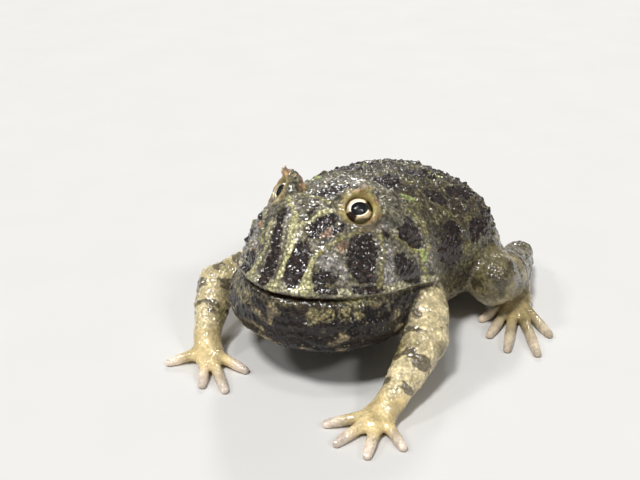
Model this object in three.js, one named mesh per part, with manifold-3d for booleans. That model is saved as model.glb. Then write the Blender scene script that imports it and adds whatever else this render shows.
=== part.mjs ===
// Argentine horned frog, a still life-size model, sitting with its head raised and its mouth a little open.
// Millimetres, +Z up. The floor is z = 0 and the origin is the middle of the flat on which the belly rests.
// The frog faces -Y, so its left side is +X.
import * as THREE from "three";
import { mergeVertices } from "three/addons/utils/BufferGeometryUtils.js";
import Module from "manifold-3d";

const wasm = await Module();
wasm.setup();

const { abs, atan2, cos, floor, hypot, max, min, PI, pow, round, sin } = Math;
const { degToRad, lerp } = THREE.MathUtils;
const vec = (x, y, z) => new THREE.Vector3(x, y, z);

// Driving dimensions, from the snout-vent length of an adult
const SNOUT_VENT = 110;
const HEAD_HALF_WIDTH = 0.27 * SNOUT_VENT;
const HEAD_REACH = 0.363 * SNOUT_VENT; // jaw corner to snout tip
const HEAD_BACK = 0.27 * SNOUT_VENT; // how far the skull runs back into the nape
const CROWN_RISE = 0.225 * SNOUT_VENT; // crown above the mouth line
const JAW_DEPTH = 0.15 * SNOUT_VENT; // chin below the mouth line
const EYE_RADIUS = 0.0425 * SNOUT_VENT;
const BELLY_HALF_WIDTH = 0.33 * SNOUT_VENT;

// Pose of the head: it is pitched up about the line through the jaw corners
const JAW_CORNERS = vec(0, -43, 27);
const HEAD_PITCH = degToRad(11);
const JAW_OPEN = degToRad(6);
const NECK_Y = -38;

const GAP = 0.3; // between neighbouring pieces
const FAR = 200; // beyond the whole frog

// Shape of the head
const PLAN_POWER = 1.85; // of the jaws' outline seen from above, a little more pointed than an ellipse
const FACE_RAKE = 0.43; // how far the face leans back for each millimetre up
const CHEEK_RAKE = 0.2;
const FACE_POWER = 5; // a firm corner between the face and the crown
const CHEEK_POWER = 2.2;
const SKULL_BELOW = 7; // how far the upper head runs on below the mouth line, where the mouth is cut
const LIP_HEIGHT = 1.2; // how far the lower jaw reaches above its own mouth line
const LOWER_LIP_INSET = 1;
const POUCH = { forward: 14.5, above: -8, radii: [28.5, 25, 11.8], blend: 9 };

// Places on the head, in its own axes: across, forward of the jaw corners, and above the mouth line
const EYE = { across: 11.95, forward: 16.15, above: 20.85 };
const GAZE = { azimuth: degToRad(42), elevation: degToRad(25) };
const LID_RADIUS = EYE_RADIUS + 1.3;
const LID_RIM = { ahead: 2.5, radius: 4.9, thickness: 1.1 };
const BROW_BLEND = 4; // how softly the eye's mound runs into the skull
const HORN_ROOT = { across: 12.2, forward: 16.2, above: 23.5 };
const HORN_TIP = { across: 13.5, forward: 16.6, above: 29.3 };
const HORN = { base: 3.8, tip: 0.9, thickness: 0.6 };
const LID_SPACE = { depth: 6, widening: 2 }; // the opening between the lids
const NOSTRIL = { across: 5.8, forward: 33, above: 14.6, radius: 1.2 };

// From the head's axes to the model's, and back
const fromHead = (across, forward, above, pitch = HEAD_PITCH) =>
  vec(
    across,
    JAW_CORNERS.y - forward * cos(pitch) + above * sin(pitch),
    JAW_CORNERS.z + forward * sin(pitch) + above * cos(pitch),
  );

const toHead = (p, pitch = HEAD_PITCH) => {
  const y = JAW_CORNERS.y - p.y;
  const z = p.z - JAW_CORNERS.z;
  const forward = y * cos(pitch) + z * sin(pitch);
  const above = z * cos(pitch) - y * sin(pitch);
  return { across: abs(p.x), forward, above };
};

const mirrored = (v, way) => vec(v.x * way, v.y, v.z);
const wayOf = (side) => (side === "left" ? 1 : -1);
const placeOnHead = ({ across, forward, above }, side) => fromHead(wayOf(side) * across, forward, above);
const eyeCentre = (side) => placeOnHead(EYE, side);

const eyeAxis = (side) => {
  const { azimuth, elevation } = GAZE;
  const across = wayOf(side) * sin(azimuth) * cos(elevation);
  return fromHead(across, cos(azimuth) * cos(elevation), sin(elevation)).sub(JAW_CORNERS);
};

// Fields: negative inside a form, about a distance in millimetres outside it
const smoothMin = (a, b, blend) => {
  const h = max(blend - abs(a - b), 0) / blend;
  return min(a, b) - h * h * blend * 0.25;
};

const ellipsoid = (x, y, z, rx, ry, rz) => {
  const size = hypot(x / rx, y / ry, z / rz);
  const slope = hypot(x / (rx * rx), y / (ry * ry), z / (rz * rz));
  return slope > 0 ? (size * (size - 1)) / slope : -min(rx, ry, rz);
};

const powerSum = (a, b, power) => pow(pow(abs(a), power) + pow(abs(b), power), 1 / power);
const planSize = (across, forward) => powerSum(across, forward, PLAN_POWER);

// The upper head: a plan that narrows upwards, with a steep face, round cheeks and a low crown
const skullField = (q) => {
  const width = HEAD_HALF_WIDTH - CHEEK_RAKE * max(q.above, 0);
  const reach = HEAD_REACH - FACE_RAKE * max(q.above, 0);
  const forward = q.forward / (q.forward < 0 ? HEAD_BACK : reach);
  const across = q.across / width;
  const facing = pow(cos(atan2(across, max(forward, 0))), 2);
  const power = lerp(CHEEK_POWER, FACE_POWER, facing);
  const height = max(q.above / CROWN_RISE, -q.above / SKULL_BELOW);
  const size = powerSum(planSize(across, forward), height, power);
  return hypot(q.across, q.forward, q.above) * (1 - 1 / max(size, 0.01));
};

const headField = (p) => {
  const eye = eyeCentre("left").distanceTo(vec(abs(p.x), p.y, p.z)) - EYE_RADIUS;
  return smoothMin(skullField(toHead(p)), eye, BROW_BLEND);
};

// The lower jaw: a chin under the lip, and the full pouch of the throat
const jawField = (p) => {
  const q = toHead(p, HEAD_PITCH - JAW_OPEN);
  const width = HEAD_HALF_WIDTH - LOWER_LIP_INSET;
  const along = q.forward < 0 ? HEAD_BACK : HEAD_REACH - LOWER_LIP_INSET;
  const depth = q.above < 0 ? JAW_DEPTH : LIP_HEIGHT;
  const size = hypot(planSize(q.across / width, q.forward / along), q.above / depth);
  const chin = hypot(q.across, q.forward, q.above) * (1 - 1 / max(size, 0.01));
  const { forward, above, radii, blend } = POUCH;
  return smoothMin(chin, ellipsoid(q.across, q.forward - forward, q.above - above, ...radii), blend);
};

const TRUNK_FORMS = [
  { at: vec(0, -30, 27.5), radii: vec(29.5, 30, 23) }, // chest
  { at: vec(0, -9, 22.6), radii: vec(BELLY_HALF_WIDTH, 32, 23.2) }, // belly
  { at: vec(0, 10, 16.5), radii: vec(24, 21, 17.2) }, // rump
];
const TRUNK_BLEND = 8; // between the forms, and between head and trunk
const JAWS_BLEND = 3;

const trunkField = (p) =>
  TRUNK_FORMS.map(({ at, radii }) => ellipsoid(...p.clone().sub(at), ...radii)).reduce((a, b) =>
    smoothMin(a, b, TRUNK_BLEND),
  );

const torsoField = (p) => {
  const jaws = smoothMin(headField(p), jawField(p), JAWS_BLEND);
  return smoothMin(jaws, trunkField(p), TRUNK_BLEND);
};

// Solids: three.js geometry in and out of manifold-3d
const solidOf = (geometry) => {
  const plain = new THREE.BufferGeometry().setAttribute("position", geometry.getAttribute("position"));
  plain.setIndex(geometry.index);
  const merged = mergeVertices(plain, 1e-3);
  const triVerts = new Uint32Array(merged.index.array);
  const vertProperties = new Float32Array(merged.attributes.position.array);
  return new wasm.Manifold(new wasm.Mesh({ numProp: 3, vertProperties, triVerts }));
};

const geometryOf = (solid) => {
  const { vertProperties, triVerts } = solid.getMesh();
  return new THREE.BufferGeometry()
    .setAttribute("position", new THREE.BufferAttribute(new Float32Array(vertProperties), 3))
    .setIndex(new THREE.BufferAttribute(new Uint32Array(triVerts), 1));
};

const join = (solids) => solids.reduce((a, b) => a.add(b));
const without = (solid, ...others) => others.reduce((left, other) => left.subtract(other), solid);
const largest = (solid) => solid.decompose().reduce((a, b) => (a.volume() > b.volume() ? a : b));

// Turns +Z of a geometry to a direction and moves it to a place
const aimed = (geometry, place, direction) => {
  const turn = new THREE.Quaternion().setFromUnitVectors(vec(0, 0, 1), direction.clone().normalize());
  return geometry.applyQuaternion(turn).translate(place.x, place.y, place.z);
};

const block = (low, high) => {
  const size = high.clone().sub(low);
  const centre = low.clone().add(high).multiplyScalar(0.5);
  return solidOf(new THREE.BoxGeometry(size.x, size.y, size.z).translate(centre.x, centre.y, centre.z));
};

const underFloor = block(vec(-FAR, -FAR, -FAR), vec(FAR, FAR, 0));

// A sphere's rings and meridians, carried to where place(ring, angle) says. The end rings are its poles.
const carriedSphere = (rings, sides, place) => {
  const sphere = new THREE.SphereGeometry(1, sides, rings);
  const { position, uv } = sphere.attributes;
  for (let i = 0; i < position.count; i++) {
    const p = place(round((1 - uv.getY(i)) * rings), (uv.getX(i) % 1) * 2 * PI);
    position.setXYZ(i, p.x, p.y, p.z);
  }
  return sphere;
};

// The torso: rays from a spine inside it, fanned out at the snout and the rump, reach its surface
const SPINE_FRONT = vec(0, -57, 36);
const SPINE_REAR = vec(0, 10, 17);
const TORSO_RINGS = { snout: 13, middle: 10, rump: 6 };
const TORSO_SIDES = 36;
const RAY_STEP = 1.5;
const RAY_HALVINGS = 18;

const surfaceAlong = (from, direction, level) => {
  const depthAt = (distance) => torsoField(from.clone().addScaledVector(direction, distance)) - level;
  let outside = RAY_STEP;
  while (depthAt(outside) < 0) outside += RAY_STEP;
  let inside = outside - RAY_STEP;
  for (let i = 0; i < RAY_HALVINGS; i++) {
    const middle = (inside + outside) / 2;
    if (depthAt(middle) < 0) inside = middle;
    else outside = middle;
  }
  return from.clone().addScaledVector(direction, inside);
};

const torso = (level) => {
  const { snout, middle, rump } = TORSO_RINGS;
  const geometry = carriedSphere(snout + middle + rump, TORSO_SIDES, (ring, angle) => {
    const from = SPINE_FRONT.clone().lerp(SPINE_REAR, min(max((ring - snout) / middle, 0), 1));
    const fan = max(snout - ring, 0) / snout - max(ring - snout - middle, 0) / rump;
    const tilt = (fan * PI) / 2;
    const direction = vec(-sin(angle) * cos(tilt), -sin(tilt), cos(angle) * cos(tilt));
    return surfaceAlong(from, direction, level);
  });
  return solidOf(geometry);
};

// A limb: round sections along a smooth centreline, with round ends; flat presses the sections down
const limbGeometry = (points, radii, { sides = 10, rings = 5, caps = 2, flat = 1, grow = 0 }) => {
  const curve = new THREE.CatmullRomCurve3(points);
  const radiusAt = (t) => {
    const x = t * (radii.length - 1);
    const i = min(floor(x), radii.length - 2);
    return lerp(radii[i], radii[i + 1], x - i) + grow;
  };
  return carriedSphere(rings + 2 * caps, sides, (ring, angle) => {
    const t = min(max((ring - caps) / rings, 0), 1);
    const beyond = max(ring - caps - rings, 0) / caps - max(caps - ring, 0) / caps;
    const turn = (beyond * PI) / 2;
    const tangent = curve.getTangent(t);
    const side = tangent.clone().cross(vec(0, 0, 1)).normalize();
    const up = side.clone().cross(tangent);
    const r = radiusAt(t);
    return curve
      .getPoint(t)
      .addScaledVector(tangent, r * sin(turn))
      .addScaledVector(side, r * cos(turn) * cos(angle))
      .addScaledVector(up, r * cos(turn) * sin(angle) * flat);
  });
};

// Every limb is made twice: as it is, and grown by the gap that its neighbour keeps to it
const limb = (points, radii, options = {}) => ({
  exact: solidOf(limbGeometry(points, radii, options)),
  grown: solidOf(limbGeometry(points, radii, { ...options, grow: GAP })),
});

const midway = (a, b, share = 0.5) => a.clone().lerp(b, share);

// Limb landmarks. The arms differ from side to side, and the hidden legs are mirror images.
const onFloor = (x, y) => vec(x, y, 0);
const ARMS = {
  left: {
    shoulder: vec(23, -36, 19),
    elbow: vec(35, -53, 14),
    wrist: vec(35, -74, 6.5),
    palm: vec(33.5, -79.5, 3),
    fingers: [onFloor(21.4, -88.5), onFloor(28.2, -94.2), onFloor(37.8, -94.4), onFloor(44.4, -86.5)],
  },
  right: {
    shoulder: vec(-23, -36, 18),
    elbow: vec(-38.5, -59.5, 15.5),
    wrist: vec(-32, -74, 7),
    palm: vec(-28.5, -78.5, 3),
    fingers: [onFloor(-14, -78.8), onFloor(-13.2, -90.2), onFloor(-20.6, -91.6), onFloor(-37, -87.5)],
  },
};
const UPPER_ARM_RADII = [8, 6.8, 5.8];
const FOREARM_RADII = [5.8, 5.6, 4.2];
const PALM_RADII = [4.4, 5.4, 4.4];
const FINGER_RADII = [2.5, 1.9, 1.5];
const PALM_FLATNESS = 0.62;
const SHOULDER_FULLNESS = { out: 1.5, up: 1 };
const KNUCKLES_Z = 3;
const SMALL = { sides: 10, rings: 4 }; // facets of palms, soles and heels
const DIGIT = { sides: 6, rings: 2 };
const DIGIT_DIP = 0.1; // below the floor, to leave a flat under its lowest facet

const LEG = {
  hip: vec(11, 12, 17),
  knee: vec(39, -12, 17),
  ankle: vec(35, 23, 8),
  tarsus: vec(40, 9, 4.6),
  pad: vec(43, 1, 3),
  toes: [onFloor(37, -14), onFloor(43, -22), onFloor(51, -27), onFloor(60, -24.5), onFloor(59.5, -12)],
};
const THIGH_RADII = [12.5, 11, 7.8];
const SHANK_RADII = [7.4, 8, 6.2, 4.8];
const TARSUS_RADII = [4.8, 4, 4];
const PAD_RADII = [4.4, 6, 4.8];
const TOE_RADII = [2.6, 2, 1.5];
const SOLE_FLATNESS = 0.55;
const SHANK_DROP = 2.5; // below the middle of the knee
const CALF_FULLNESS = 1.5;
const WEB = { share: 0.5, notch: 0.22, thickness: 1.1, above: 0.4 };

// A finger or toe, lying on the floor
const digit = (root, tip, radii) => {
  const points = [root, midway(root, tip), tip];
  const heights = radii.map((radius) => radius * cos(PI / DIGIT.sides) - DIGIT_DIP);
  return limb(points.map((p, i) => p.clone().setZ(heights[i])), radii, DIGIT).exact;
};

// A web: a thin plate between two toes, from the pad out to a share of their length
const web = (root, tipA, tipB) => {
  const a = midway(root, tipA, WEB.share);
  const b = midway(root, tipB, WEB.share);
  const notch = midway(midway(a, b), root, WEB.notch);
  const outline = new THREE.Shape([root, a, notch, b].map((p) => new THREE.Vector2(p.x, p.y)));
  const plate = new THREE.ExtrudeGeometry(outline, { depth: WEB.thickness, bevelEnabled: false });
  plate.setIndex([...Array(plate.attributes.position.count).keys()]);
  return solidOf(plate.translate(0, 0, WEB.above));
};

const arm = (side, torsoGrown) => {
  const { shoulder, elbow, wrist, palm, fingers } = ARMS[side];
  const { out, up } = SHOULDER_FULLNESS;
  const deltoid = midway(shoulder, elbow).add(vec(out * wayOf(side), 0, up));
  const upper = limb([shoulder, deltoid, elbow], UPPER_ARM_RADII);
  const fore = limb([elbow, midway(elbow, wrist), wrist], FOREARM_RADII);
  const knuckles = midway(palm, midway(fingers[1], fingers[2]), 0.25).setZ(KNUCKLES_Z);
  const pad = limb([midway(wrist, palm, 0.4), palm, knuckles], PALM_RADII, { ...SMALL, flat: PALM_FLATNESS });
  const hand = join([pad.exact, ...fingers.map((tip) => digit(palm, tip, FINGER_RADII))]);
  return {
    [`upper_arm_${side}`]: without(upper.exact, torsoGrown),
    [`forearm_${side}`]: without(fore.exact, torsoGrown, upper.grown),
    [`hand_${side}`]: without(hand, torsoGrown, fore.grown),
  };
};

const leg = (side, torsoGrown) => {
  const way = wayOf(side);
  const landmarks = [LEG.hip, LEG.knee, LEG.ankle, LEG.tarsus, LEG.pad];
  const [hip, knee, ankle, tarsus, pad] = landmarks.map((p) => mirrored(p, way));
  const toes = LEG.toes.map((tip) => mirrored(tip, way));
  const underKnee = knee.clone().add(vec(0, 0, -SHANK_DROP));
  const calf = midway(underKnee, ankle).add(vec(CALF_FULLNESS * way, 0, 0));
  const toeRoots = midway(pad, toes[2], 0.28).setZ(KNUCKLES_Z);
  const thigh = limb([hip, midway(hip, knee), knee], THIGH_RADII, { sides: 12, caps: 3 });
  const shank = limb([underKnee, calf, ankle], SHANK_RADII);
  const heel = limb([ankle, midway(ankle, tarsus), tarsus], TARSUS_RADII, SMALL);
  const sole = limb([tarsus, pad, toeRoots], PAD_RADII, { ...SMALL, flat: SOLE_FLATNESS });
  const webs = toes.slice(1).map((tip, i) => web(pad, toes[i], tip));
  const foot = join([heel.exact, sole.exact, ...toes.map((tip) => digit(pad, tip, TOE_RADII)), ...webs]);
  return {
    [`thigh_${side}`]: without(thigh.exact, torsoGrown),
    [`shank_${side}`]: without(shank.exact, torsoGrown, thigh.grown),
    [`foot_${side}`]: without(foot, torsoGrown, thigh.grown, shank.grown),
  };
};

// The eyes, and what gives them room in the head
const ball = (side, radius) =>
  solidOf(aimed(new THREE.SphereGeometry(radius, 16, 8).rotateX(PI / 2), eyeCentre(side), eyeAxis(side)));

// The space between the lids: a short cone that widens outwards along the gaze
const lidOpening = (side) => {
  const { depth, widening } = LID_SPACE;
  const near = LID_RIM.radius - LID_RIM.thickness;
  const cone = new THREE.CylinderGeometry(near + widening, near, depth, 16).rotateX(PI / 2);
  const middle = eyeCentre(side).addScaledVector(eyeAxis(side), LID_RIM.ahead + depth / 2);
  return solidOf(aimed(cone, middle, eyeAxis(side)));
};

// The horn: a flattened, soft point on the upper lid
const horn = (side, grow) => {
  const root = placeOnHead(HORN_ROOT, side);
  const along = placeOnHead(HORN_TIP, side).sub(root);
  const height = along.length() + 2 * grow;
  const cone = new THREE.CylinderGeometry(HORN.tip + grow, HORN.base + grow, height, 12, 2).rotateX(PI / 2);
  cone.scale(HORN.thickness, 1, 1).translate(0, 0, along.length() / 2);
  return solidOf(aimed(cone, root, along));
};

// Both lids of an eye: a cup about the ball with a thick rim, and the horn on its top
const lids = (side, grow = 0) => {
  const rimAt = eyeCentre(side).addScaledVector(eyeAxis(side), LID_RIM.ahead);
  const rim = new THREE.TorusGeometry(LID_RIM.radius, LID_RIM.thickness + grow, 6, 16);
  return join([ball(side, LID_RADIUS + grow), solidOf(aimed(rim, rimAt, eyeAxis(side))), horn(side, grow)]);
};

const nostril = (side) => {
  const at = placeOnHead(NOSTRIL, side);
  return solidOf(new THREE.SphereGeometry(NOSTRIL.radius, 8, 6).translate(at.x, at.y, at.z));
};

// The slit between the jaws, a wedge that closes at the jaw corners and parts the flesh behind them
const mouth = () => {
  const reach = 1.5 * HEAD_REACH;
  const behind = -8;
  const corner = (forward, above, pitch) => {
    const p = fromHead(0, forward, above, pitch);
    return new THREE.Vector2(p.y, p.z);
  };
  const wedge = new THREE.Shape([
    corner(behind, GAP / 2),
    corner(reach, GAP / 2),
    corner(reach, -GAP / 2, HEAD_PITCH - JAW_OPEN),
    corner(0, -GAP / 2),
    corner(behind, -GAP / 2),
  ]);
  const slab = new THREE.ExtrudeGeometry(wedge, { depth: 2 * FAR, bevelEnabled: false });
  slab.setIndex([...Array(slab.attributes.position.count).keys()]);
  const acrossTheHead = new THREE.Matrix4().makeBasis(vec(0, 1, 0), vec(0, 0, 1), vec(1, 0, 0));
  return solidOf(slab.translate(0, 0, -FAR).applyMatrix4(acrossTheHead));
};

// The torso, parted into head, lower jaw and trunk, with the eyes and their lids set into the head
const parted = (whole) => {
  const ahead = block(vec(-FAR, -FAR, -FAR), vec(FAR, NECK_Y - GAP / 2, FAR));
  const behind = block(vec(-FAR, NECK_Y + GAP / 2, -FAR), vec(FAR, FAR, FAR));
  const jaws = whole.intersect(ahead).subtract(mouth()).decompose();
  const heightOf = (solid) => solid.boundingBox().max[2];
  const [upper, lower] = jaws.sort((a, b) => heightOf(b) - heightOf(a));
  const pieces = { head: upper, lower_jaw: lower, trunk: whole.intersect(behind) };
  for (const side of ["left", "right"]) {
    pieces.head = without(pieces.head, lids(side, GAP), lidOpening(side), nostril(side));
    pieces[`horned_lid_${side}`] = without(lids(side), ball(side, EYE_RADIUS + GAP), lidOpening(side));
    pieces[`eye_${side}`] = ball(side, EYE_RADIUS);
  }
  return pieces;
};

// Finishes
const WET_SKIN = 0.35;
const WET_EYE = 0.05;
const SKIN_COLOURS = { head: 0x5a5830, lower_jaw: 0x5c5030, trunk: 0x4a4a2a };
const LID_COLOUR = 0x8a7a3a;
const LIMB_COLOUR = 0x9a8f4a;
const IRIS_COLOUR = 0xe0cf9a;
const skin = (color) => new THREE.MeshStandardMaterial({ color, roughness: WET_SKIN, metalness: 0 });

const finishOf = (name) => {
  if (name.startsWith("eye")) {
    return new THREE.MeshStandardMaterial({ color: IRIS_COLOUR, roughness: WET_EYE, metalness: 0 });
  }
  if (name.startsWith("horned_lid")) return skin(LID_COLOUR);
  return skin(SKIN_COLOURS[name] ?? LIMB_COLOUR);
};

const torsoGrown = torso(GAP);
const solids = parted(torso(0));
for (const side of ["left", "right"]) Object.assign(solids, arm(side, torsoGrown), leg(side, torsoGrown));

const frog = new THREE.Group();
for (const [name, solid] of Object.entries(solids)) {
  const mesh = new THREE.Mesh(geometryOf(largest(solid.subtract(underFloor))), finishOf(name));
  mesh.name = name;
  frog.add(mesh);
}

export default frog;
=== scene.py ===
# Argentine horned frog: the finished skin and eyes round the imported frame, in soft studio light.
# Shapes are worked out in millimetres, in the CAD's frame, and written to Blender in metres.
import itertools
import math

import bpy
import numpy as np
from mathutils import Matrix, Vector
from mathutils.bvhtree import BVHTree


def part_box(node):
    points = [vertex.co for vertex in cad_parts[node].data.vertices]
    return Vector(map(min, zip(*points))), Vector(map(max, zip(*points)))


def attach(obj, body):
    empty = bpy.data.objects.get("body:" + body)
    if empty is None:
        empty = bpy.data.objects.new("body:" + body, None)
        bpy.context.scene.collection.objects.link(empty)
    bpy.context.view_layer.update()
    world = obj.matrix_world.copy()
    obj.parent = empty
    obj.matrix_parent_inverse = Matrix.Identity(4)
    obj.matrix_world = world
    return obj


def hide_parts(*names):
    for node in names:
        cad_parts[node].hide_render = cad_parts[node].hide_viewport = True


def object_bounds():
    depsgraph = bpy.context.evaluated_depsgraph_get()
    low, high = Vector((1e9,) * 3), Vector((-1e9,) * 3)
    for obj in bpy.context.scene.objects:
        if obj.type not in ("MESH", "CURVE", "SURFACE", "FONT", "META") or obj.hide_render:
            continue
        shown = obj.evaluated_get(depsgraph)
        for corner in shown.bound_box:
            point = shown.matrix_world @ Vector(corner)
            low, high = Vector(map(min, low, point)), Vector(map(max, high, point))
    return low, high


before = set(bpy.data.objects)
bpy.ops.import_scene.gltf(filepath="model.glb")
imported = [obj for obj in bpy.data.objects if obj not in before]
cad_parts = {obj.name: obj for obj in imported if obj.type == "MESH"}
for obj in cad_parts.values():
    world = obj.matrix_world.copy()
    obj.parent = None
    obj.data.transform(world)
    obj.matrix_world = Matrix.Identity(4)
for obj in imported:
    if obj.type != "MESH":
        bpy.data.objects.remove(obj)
cad_low, cad_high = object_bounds()

MM = 0.001
BODY = "root"
SIDES = {"left": 1, "right": -1}

# Camera, fitted to the photograph
CAMERA_AZIMUTH = math.radians(32.4)
CAMERA_ELEVATION = math.radians(26.2)
CAMERA_ROLL = math.radians(-1.1)
CAMERA_DISTANCE = 271.6
CAMERA_TARGET = np.array([-2.07, -53, 37.72])
LENS = 50
SENSOR_WIDTH = 36
PICTURE_WIDTH, PICTURE_HEIGHT = 640, 480

# Driving dimensions, the same as the CAD's
SNOUT_VENT = 110
HEAD_HALF_WIDTH = 0.27 * SNOUT_VENT
HEAD_REACH = 0.363 * SNOUT_VENT
HEAD_BACK = 0.27 * SNOUT_VENT
CROWN_RISE = 0.225 * SNOUT_VENT
JAW_DEPTH = 0.15 * SNOUT_VENT
EYE_RADIUS = 0.0425 * SNOUT_VENT
BELLY_HALF_WIDTH = 0.33 * SNOUT_VENT

# Pose of the head, pitched up about the line through the jaw corners
JAW_CORNERS = np.array([0, -43, 27.0])
HEAD_PITCH = math.radians(11)
JAW_OPEN = math.radians(6)
JAW_PITCH = HEAD_PITCH - JAW_OPEN

# Shape of the head
PLAN_POWER = 1.85
FACE_RAKE = 0.43
CHEEK_RAKE = 0.2
FACE_POWER = 5
CHEEK_POWER = 2.2
LIP_EDGE = 0.7  # how far the upper lip reaches below the mouth line
LOWER_LIP_EDGE = 2.3  # how far the lower lip reaches above its own mouth line
LIP_ROUND = 1.8
LOWER_LIP_INSET = 1.8
POUCH_CENTRE = np.array([0, 14.5, -8.0])
POUCH_RADII = np.array([28.5, 25, 11.8])
POUCH_BLEND = 9
MOUTH_INSET = 4.0  # thickness of the lips at the mouth's opening
MOUTH_HALF_HEIGHT = 4.5
MOUTH_BACK = 5  # how far forward of the jaw corners the hollow ends
CHEEK_FOLD = [(17, 11, 22), (23, 4.5, 16.5), (27.5, 0.5, 9), (29.5, -0.5, 2)]
CHEEK_FOLD_RADIUS = 1.9

# Eyes, lids, horns and nostrils
EYE_PLACE = (11.95, 16.15, 20.85)
GAZE_AZIMUTH = math.radians(42)
GAZE_ELEVATION = math.radians(33)  # 8 degrees above the CAD's lids, as in the photograph
BROW_RADIUS = EYE_RADIUS + 0.55
BROW_INWARDS = 0.9  # the mound's middle sits towards the nose from the ball's
BROW_BLEND = 4
RIM_AHEAD = 2.35
RIM_RADIUS = 4.75
RIM_THICKNESS = 0.85
RIM_SWELLING = 1.1  # how much thicker the rim is above the eye
OPENING_FLARE = 0.33  # how much wider the lids' opening gets for each millimetre forward
LID_REACH = 16  # nothing of an eye's lids or horn lies farther from its middle
SOCKET_GAP = 0.12
HORN_ROOT = (12.6, 16.4, 23.6)
HORN_TIP = (13.6, 16.7, 30.3)
HORN_RADII = (3.6, 2.7, 1.5, 0.45)
HORN_THICKNESS = 0.5
# The horn's rusty inner face, in the head's axes with a radius
HORN_FRONT = [(13.5, 16.8, 29.6, 1.8), (11.7, 15.7, 26.8, 3.2), (8.9, 17.2, 24.6, 2.7)]
NOSTRIL_MOUND = (5.4, 31.5, 13.4)
NOSTRIL_MOUND_RADIUS = 2.1
NOSTRIL_PLACE = (5.9, 33.1, 14.7)
NOSTRIL_RADII = (0.6, 0.9, 0.75)

# Trunk: centre and radii of the chest, the belly and the rump
TRUNK_FORMS = [
    ((0, -30, 27.5), (29.5, 30, 23)),
    ((0, -9, 22.6), (BELLY_HALF_WIDTH, 32, 23.2)),
    ((0, 10, 16.5), (24, 21, 17.2)),
]
TRUNK_BLEND = 8


def from_head(across, forward, above, pitch=HEAD_PITCH):
    """A place on the head, in the model's frame."""
    back = above * math.sin(pitch) - forward * math.cos(pitch)
    up = forward * math.sin(pitch) + above * math.cos(pitch)
    return JAW_CORNERS + np.array([across, back, up])


def to_head(p, pitch=HEAD_PITCH):
    """Points in the head's axes: across, forward of the jaw corners, above the mouth line."""
    ahead = JAW_CORNERS[1] - p[:, 1]
    up = p[:, 2] - JAW_CORNERS[2]
    forward = ahead * math.cos(pitch) + up * math.sin(pitch)
    above = up * math.cos(pitch) - ahead * math.sin(pitch)
    return np.column_stack([p[:, 0], forward, above])


def unit(v):
    return v / np.linalg.norm(v)


def camera_axes():
    """Unit vectors to the right and up in the picture, and back from the frog to the camera."""
    a, e, roll = CAMERA_AZIMUTH, CAMERA_ELEVATION, CAMERA_ROLL
    back = np.array([math.sin(a) * math.cos(e), -math.cos(a) * math.cos(e), math.sin(e)])
    level = np.array([math.cos(a), math.sin(a), 0])
    upright = np.cross(back, level)
    right = level * math.cos(roll) + upright * math.sin(roll)
    up = upright * math.cos(roll) - level * math.sin(roll)
    return right, up, back


def eye_axis(way):
    across = way * math.sin(GAZE_AZIMUTH) * math.cos(GAZE_ELEVATION)
    forward = math.cos(GAZE_AZIMUTH) * math.cos(GAZE_ELEVATION)
    return from_head(across, forward, math.sin(GAZE_ELEVATION)) - JAW_CORNERS


def eye_centre(side):
    low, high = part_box(f"eye_{side}")
    return np.array((low + high) / 2) / MM


# Fields: about the distance in millimetres, negative inside
FAR = 1e3


def smooth_min(a, b, blend):
    h = np.maximum(blend - np.abs(a - b), 0) / blend
    return np.minimum(a, b) - h * h * blend * 0.25


def smooth_max(a, b, blend):
    return -smooth_min(-a, -b, blend)


def smooth_step(x, low, high):
    t = np.clip((x - low) / (high - low), 0, 1)
    return t * t * (3 - 2 * t)


def power_sum(a, b, power):
    return (np.abs(a) ** power + np.abs(b) ** power) ** (1 / power)


def ellipsoid(p, centre, radii):
    q = (p - centre) / radii
    size = np.linalg.norm(q, axis=1)
    slope = np.linalg.norm(q / radii, axis=1) + 1e-9
    return size * (size - 1) / slope


def chain(p, points, radii, shares=False):
    """Distance to a line of round cones, and with shares also how far along it each point lies."""
    points = np.asarray(points, float)
    nearest = np.full(len(p), FAR)
    along = np.zeros(len(p))
    for i in range(len(points) - 1):
        span = points[i + 1] - points[i]
        t = np.clip((p - points[i]) @ span / max(span @ span, 1e-9), 0, 1)
        radius = radii[i] + (radii[i + 1] - radii[i]) * t
        distance = np.linalg.norm(p - points[i] - t[:, None] * span, axis=1) - radius
        closer = distance < nearest
        nearest = np.where(closer, distance, nearest)
        along = np.where(closer, (i + t) / (len(points) - 1), along)
    return (nearest, along) if shares else nearest


def curve(points, count):
    """Points along a smooth line through the given ones."""
    points = np.asarray(points, float)
    ends = [2 * points[0] - points[1], *points, 2 * points[-1] - points[-2]]
    out = []
    for x in np.linspace(0, len(points) - 1, count):
        i = min(int(x), len(points) - 2)
        t = x - i
        a, b, c, d = ends[i : i + 4]
        bend = 2 * a - 5 * b + 4 * c - d
        twist = 3 * b - a - 3 * c + d
        out.append(0.5 * (2 * b + (c - a) * t + bend * t**2 + twist * t**3))
    return np.array(out)


def spread(radii, count):
    """Radii along a line, straight between the given ones."""
    return np.interp(np.linspace(0, 1, count), np.linspace(0, 1, len(radii)), radii)


# Head
def skull(q):
    across, forward, above = np.abs(q[:, 0]), q[:, 1], q[:, 2]
    rise = np.maximum(above, 0)
    aside = across / (HEAD_HALF_WIDTH - CHEEK_RAKE * rise)
    along = forward / np.where(forward < 0, HEAD_BACK, HEAD_REACH - FACE_RAKE * rise)
    facing = np.cos(np.arctan2(aside, np.maximum(along, 0))) ** 2
    power = CHEEK_POWER + (FACE_POWER - CHEEK_POWER) * facing
    plan = power_sum(aside, along, PLAN_POWER)
    size = np.maximum(power_sum(plan, rise / CROWN_RISE, power), 0.01)
    wall = np.sqrt(across**2 + forward**2 + rise**2) * (1 - 1 / size)
    return smooth_max(wall, -above - LIP_EDGE, LIP_ROUND)


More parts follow.
